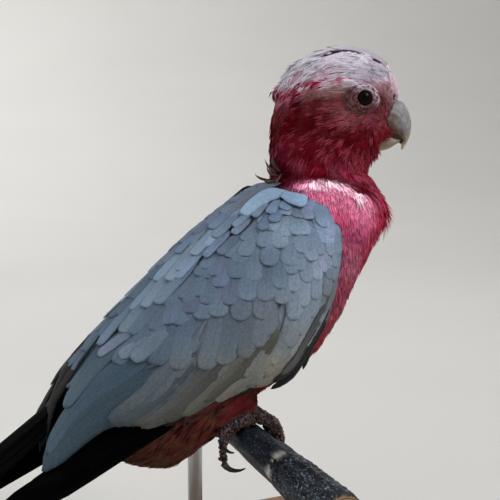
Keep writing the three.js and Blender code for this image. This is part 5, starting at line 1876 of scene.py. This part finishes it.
def build_board():
    """A moulded board with round corners."""
    low, high = (placed(corner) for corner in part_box("stand_base"))
    half, middle = (high - low)[:2] / 2, (high + low)[:2] / 2
    angles = [np.linspace(turn, turn + math.pi / 2, CORNER_STEPS) for turn in np.arange(4) * math.pi / 2]
    angles = np.concatenate(angles)
    way = np.stack([np.cos(angles), np.sin(angles)], axis=1)
    pivot = np.repeat([(1, 1), (-1, 1), (-1, -1), (1, -1)], CORNER_STEPS, axis=0) * (half - CORNER_RADIUS)
    rings = []
    for inset, up in MOULDING:
        flat = middle + pivot + way * (CORNER_RADIUS - inset)
        rings.append(np.concatenate([flat, np.full((len(way), 1), low[2] + up)], axis=1))
    finished(smooth_sided("display_base", np.array(rings)), board_material(), "base_wood", "stand_base")


def build_rod(place, material):
    """A rod with a collar, from the board up to the branch."""
    floor = placed(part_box("stand_base")[1])[2]
    low, high = (placed(corner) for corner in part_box(f"stand_rod_{place}"))
    foot = np.array([(low[0] + high[0]) / 2, (low[1] + high[1]) / 2, floor])
    start, top = low[2] - floor, high[2] - floor
    shape = [(ROD_RADIUS - 0.4, start), (ROD_RADIUS, start + 0.4), (ROD_RADIUS, 0.05), *ROD_COLLAR]
    shape += [(ROD_RADIUS, 3.9), (ROD_RADIUS, 8), (ROD_RADIUS, top - 0.6), (ROD_RADIUS - 0.5, top)]
    rod = smooth_sided(f"display_rod_{place}", turned(foot, UPRIGHT, *zip(*shape), 40))
    finished(rod, material, "rod_steel", f"stand_rod_{place}")


def smooth_sided(name, rings):
    """A turned or moulded piece, shaded smooth except across its sharp edges."""
    piece = new_object(name, *ringed(rings))
    piece.data.set_sharp_from_angle(angle=math.radians(32))
    return piece


build_perch()
build_board()
steel = steel_material()
for place in ("near", "far"):
    build_rod(place, steel)

# ---- Camera, light and floor -------------------------------------------------------------------------

# The camera's place is in the bird's frame, and its lens is in millimetres.
CAMERA = {"at": (-128.6, -323.0, 121.2), "yaw": math.radians(67), "pitch": math.radians(-6), "lens": 54}
FLOOR = {"flat": 1.3, "curve": 1.3, "height": 2.0}  # metres
SKY = {"colour": (0.93, 0.96, 1.0, 1), "strength": 0.37}
# Each light's name, where it comes from, its strength and how many degrees wide it is.
LIGHTS = [("key", (0.55, -0.5, 0.68), 2.0, 35), ("back", (-0.35, 0.6, 0.7), 0.5, 30),
          ("rim", (0.93, 0.3, 0.2), 1.0, 20)]


def make_stage():
    """The camera, the floor, the sky and the lights."""
    camera = bpy.data.objects.new("camera", bpy.data.cameras.new("camera"))
    camera.data.lens = CAMERA["lens"]
    camera.data.sensor_width = 36
    camera.data.clip_start = 10 * MM
    camera.location = to_model(CAMERA["at"])
    level = math.cos(CAMERA["pitch"])
    way = (level * math.cos(CAMERA["yaw"]), level * math.sin(CAMERA["yaw"]), math.sin(CAMERA["pitch"]))
    camera.rotation_euler = Vector(way).to_track_quat("-Z", "Y").to_euler()
    bpy.context.scene.collection.objects.link(camera)
    bpy.context.scene.camera = camera

    # A floor that curves up into a wall all round, so that no line shows behind the bird.
    angle = np.linspace(0, math.pi / 2, 24)
    radii = [0.4, 0.8, *(FLOOR["flat"] + FLOOR["curve"] * np.sin(angle)), FLOOR["flat"] + FLOOR["curve"]]
    heights = [0, 0, *(FLOOR["curve"] * (1 - np.cos(angle))), FLOOR["height"]]
    points, (quads, fans) = ringed(turned((0, 0, 0), UPRIGHT, radii, heights, 96))
    fans = fans[(fans != len(points) - 1).all(axis=1)]
    floor = new_object("floor", placed(points[:-1]), [quads, fans])
    n = Nodes("floor", Roughness=0.9)
    paper = n.mix(n.noise(14, 3), linear(226, 224, 220), linear(234, 232, 228))
    floor.data.materials.append(n.finish(paper))

    world = bpy.data.worlds.new("studio")
    world.use_nodes = True
    sky = world.node_tree.nodes["Background"].inputs
    sky["Color"].default_value = SKY["colour"]
    sky["Strength"].default_value = SKY["strength"]
    bpy.context.scene.world = world
    for name, way, strength, spread in LIGHTS:
        light(name, way, strength, spread)
    bpy.context.scene.view_settings.view_transform = "Standard"


def light(name, way, strength, spread):
    """A soft light from far away, which comes from a direction."""
    lamp = bpy.data.lights.new(name, "SUN")
    lamp.energy = strength
    lamp.angle = math.radians(spread)
    piece = bpy.data.objects.new(name, lamp)
    piece.rotation_euler = Vector(way).to_track_quat("Z", "Y").to_euler()
    bpy.context.scene.collection.objects.link(piece)


make_stage()
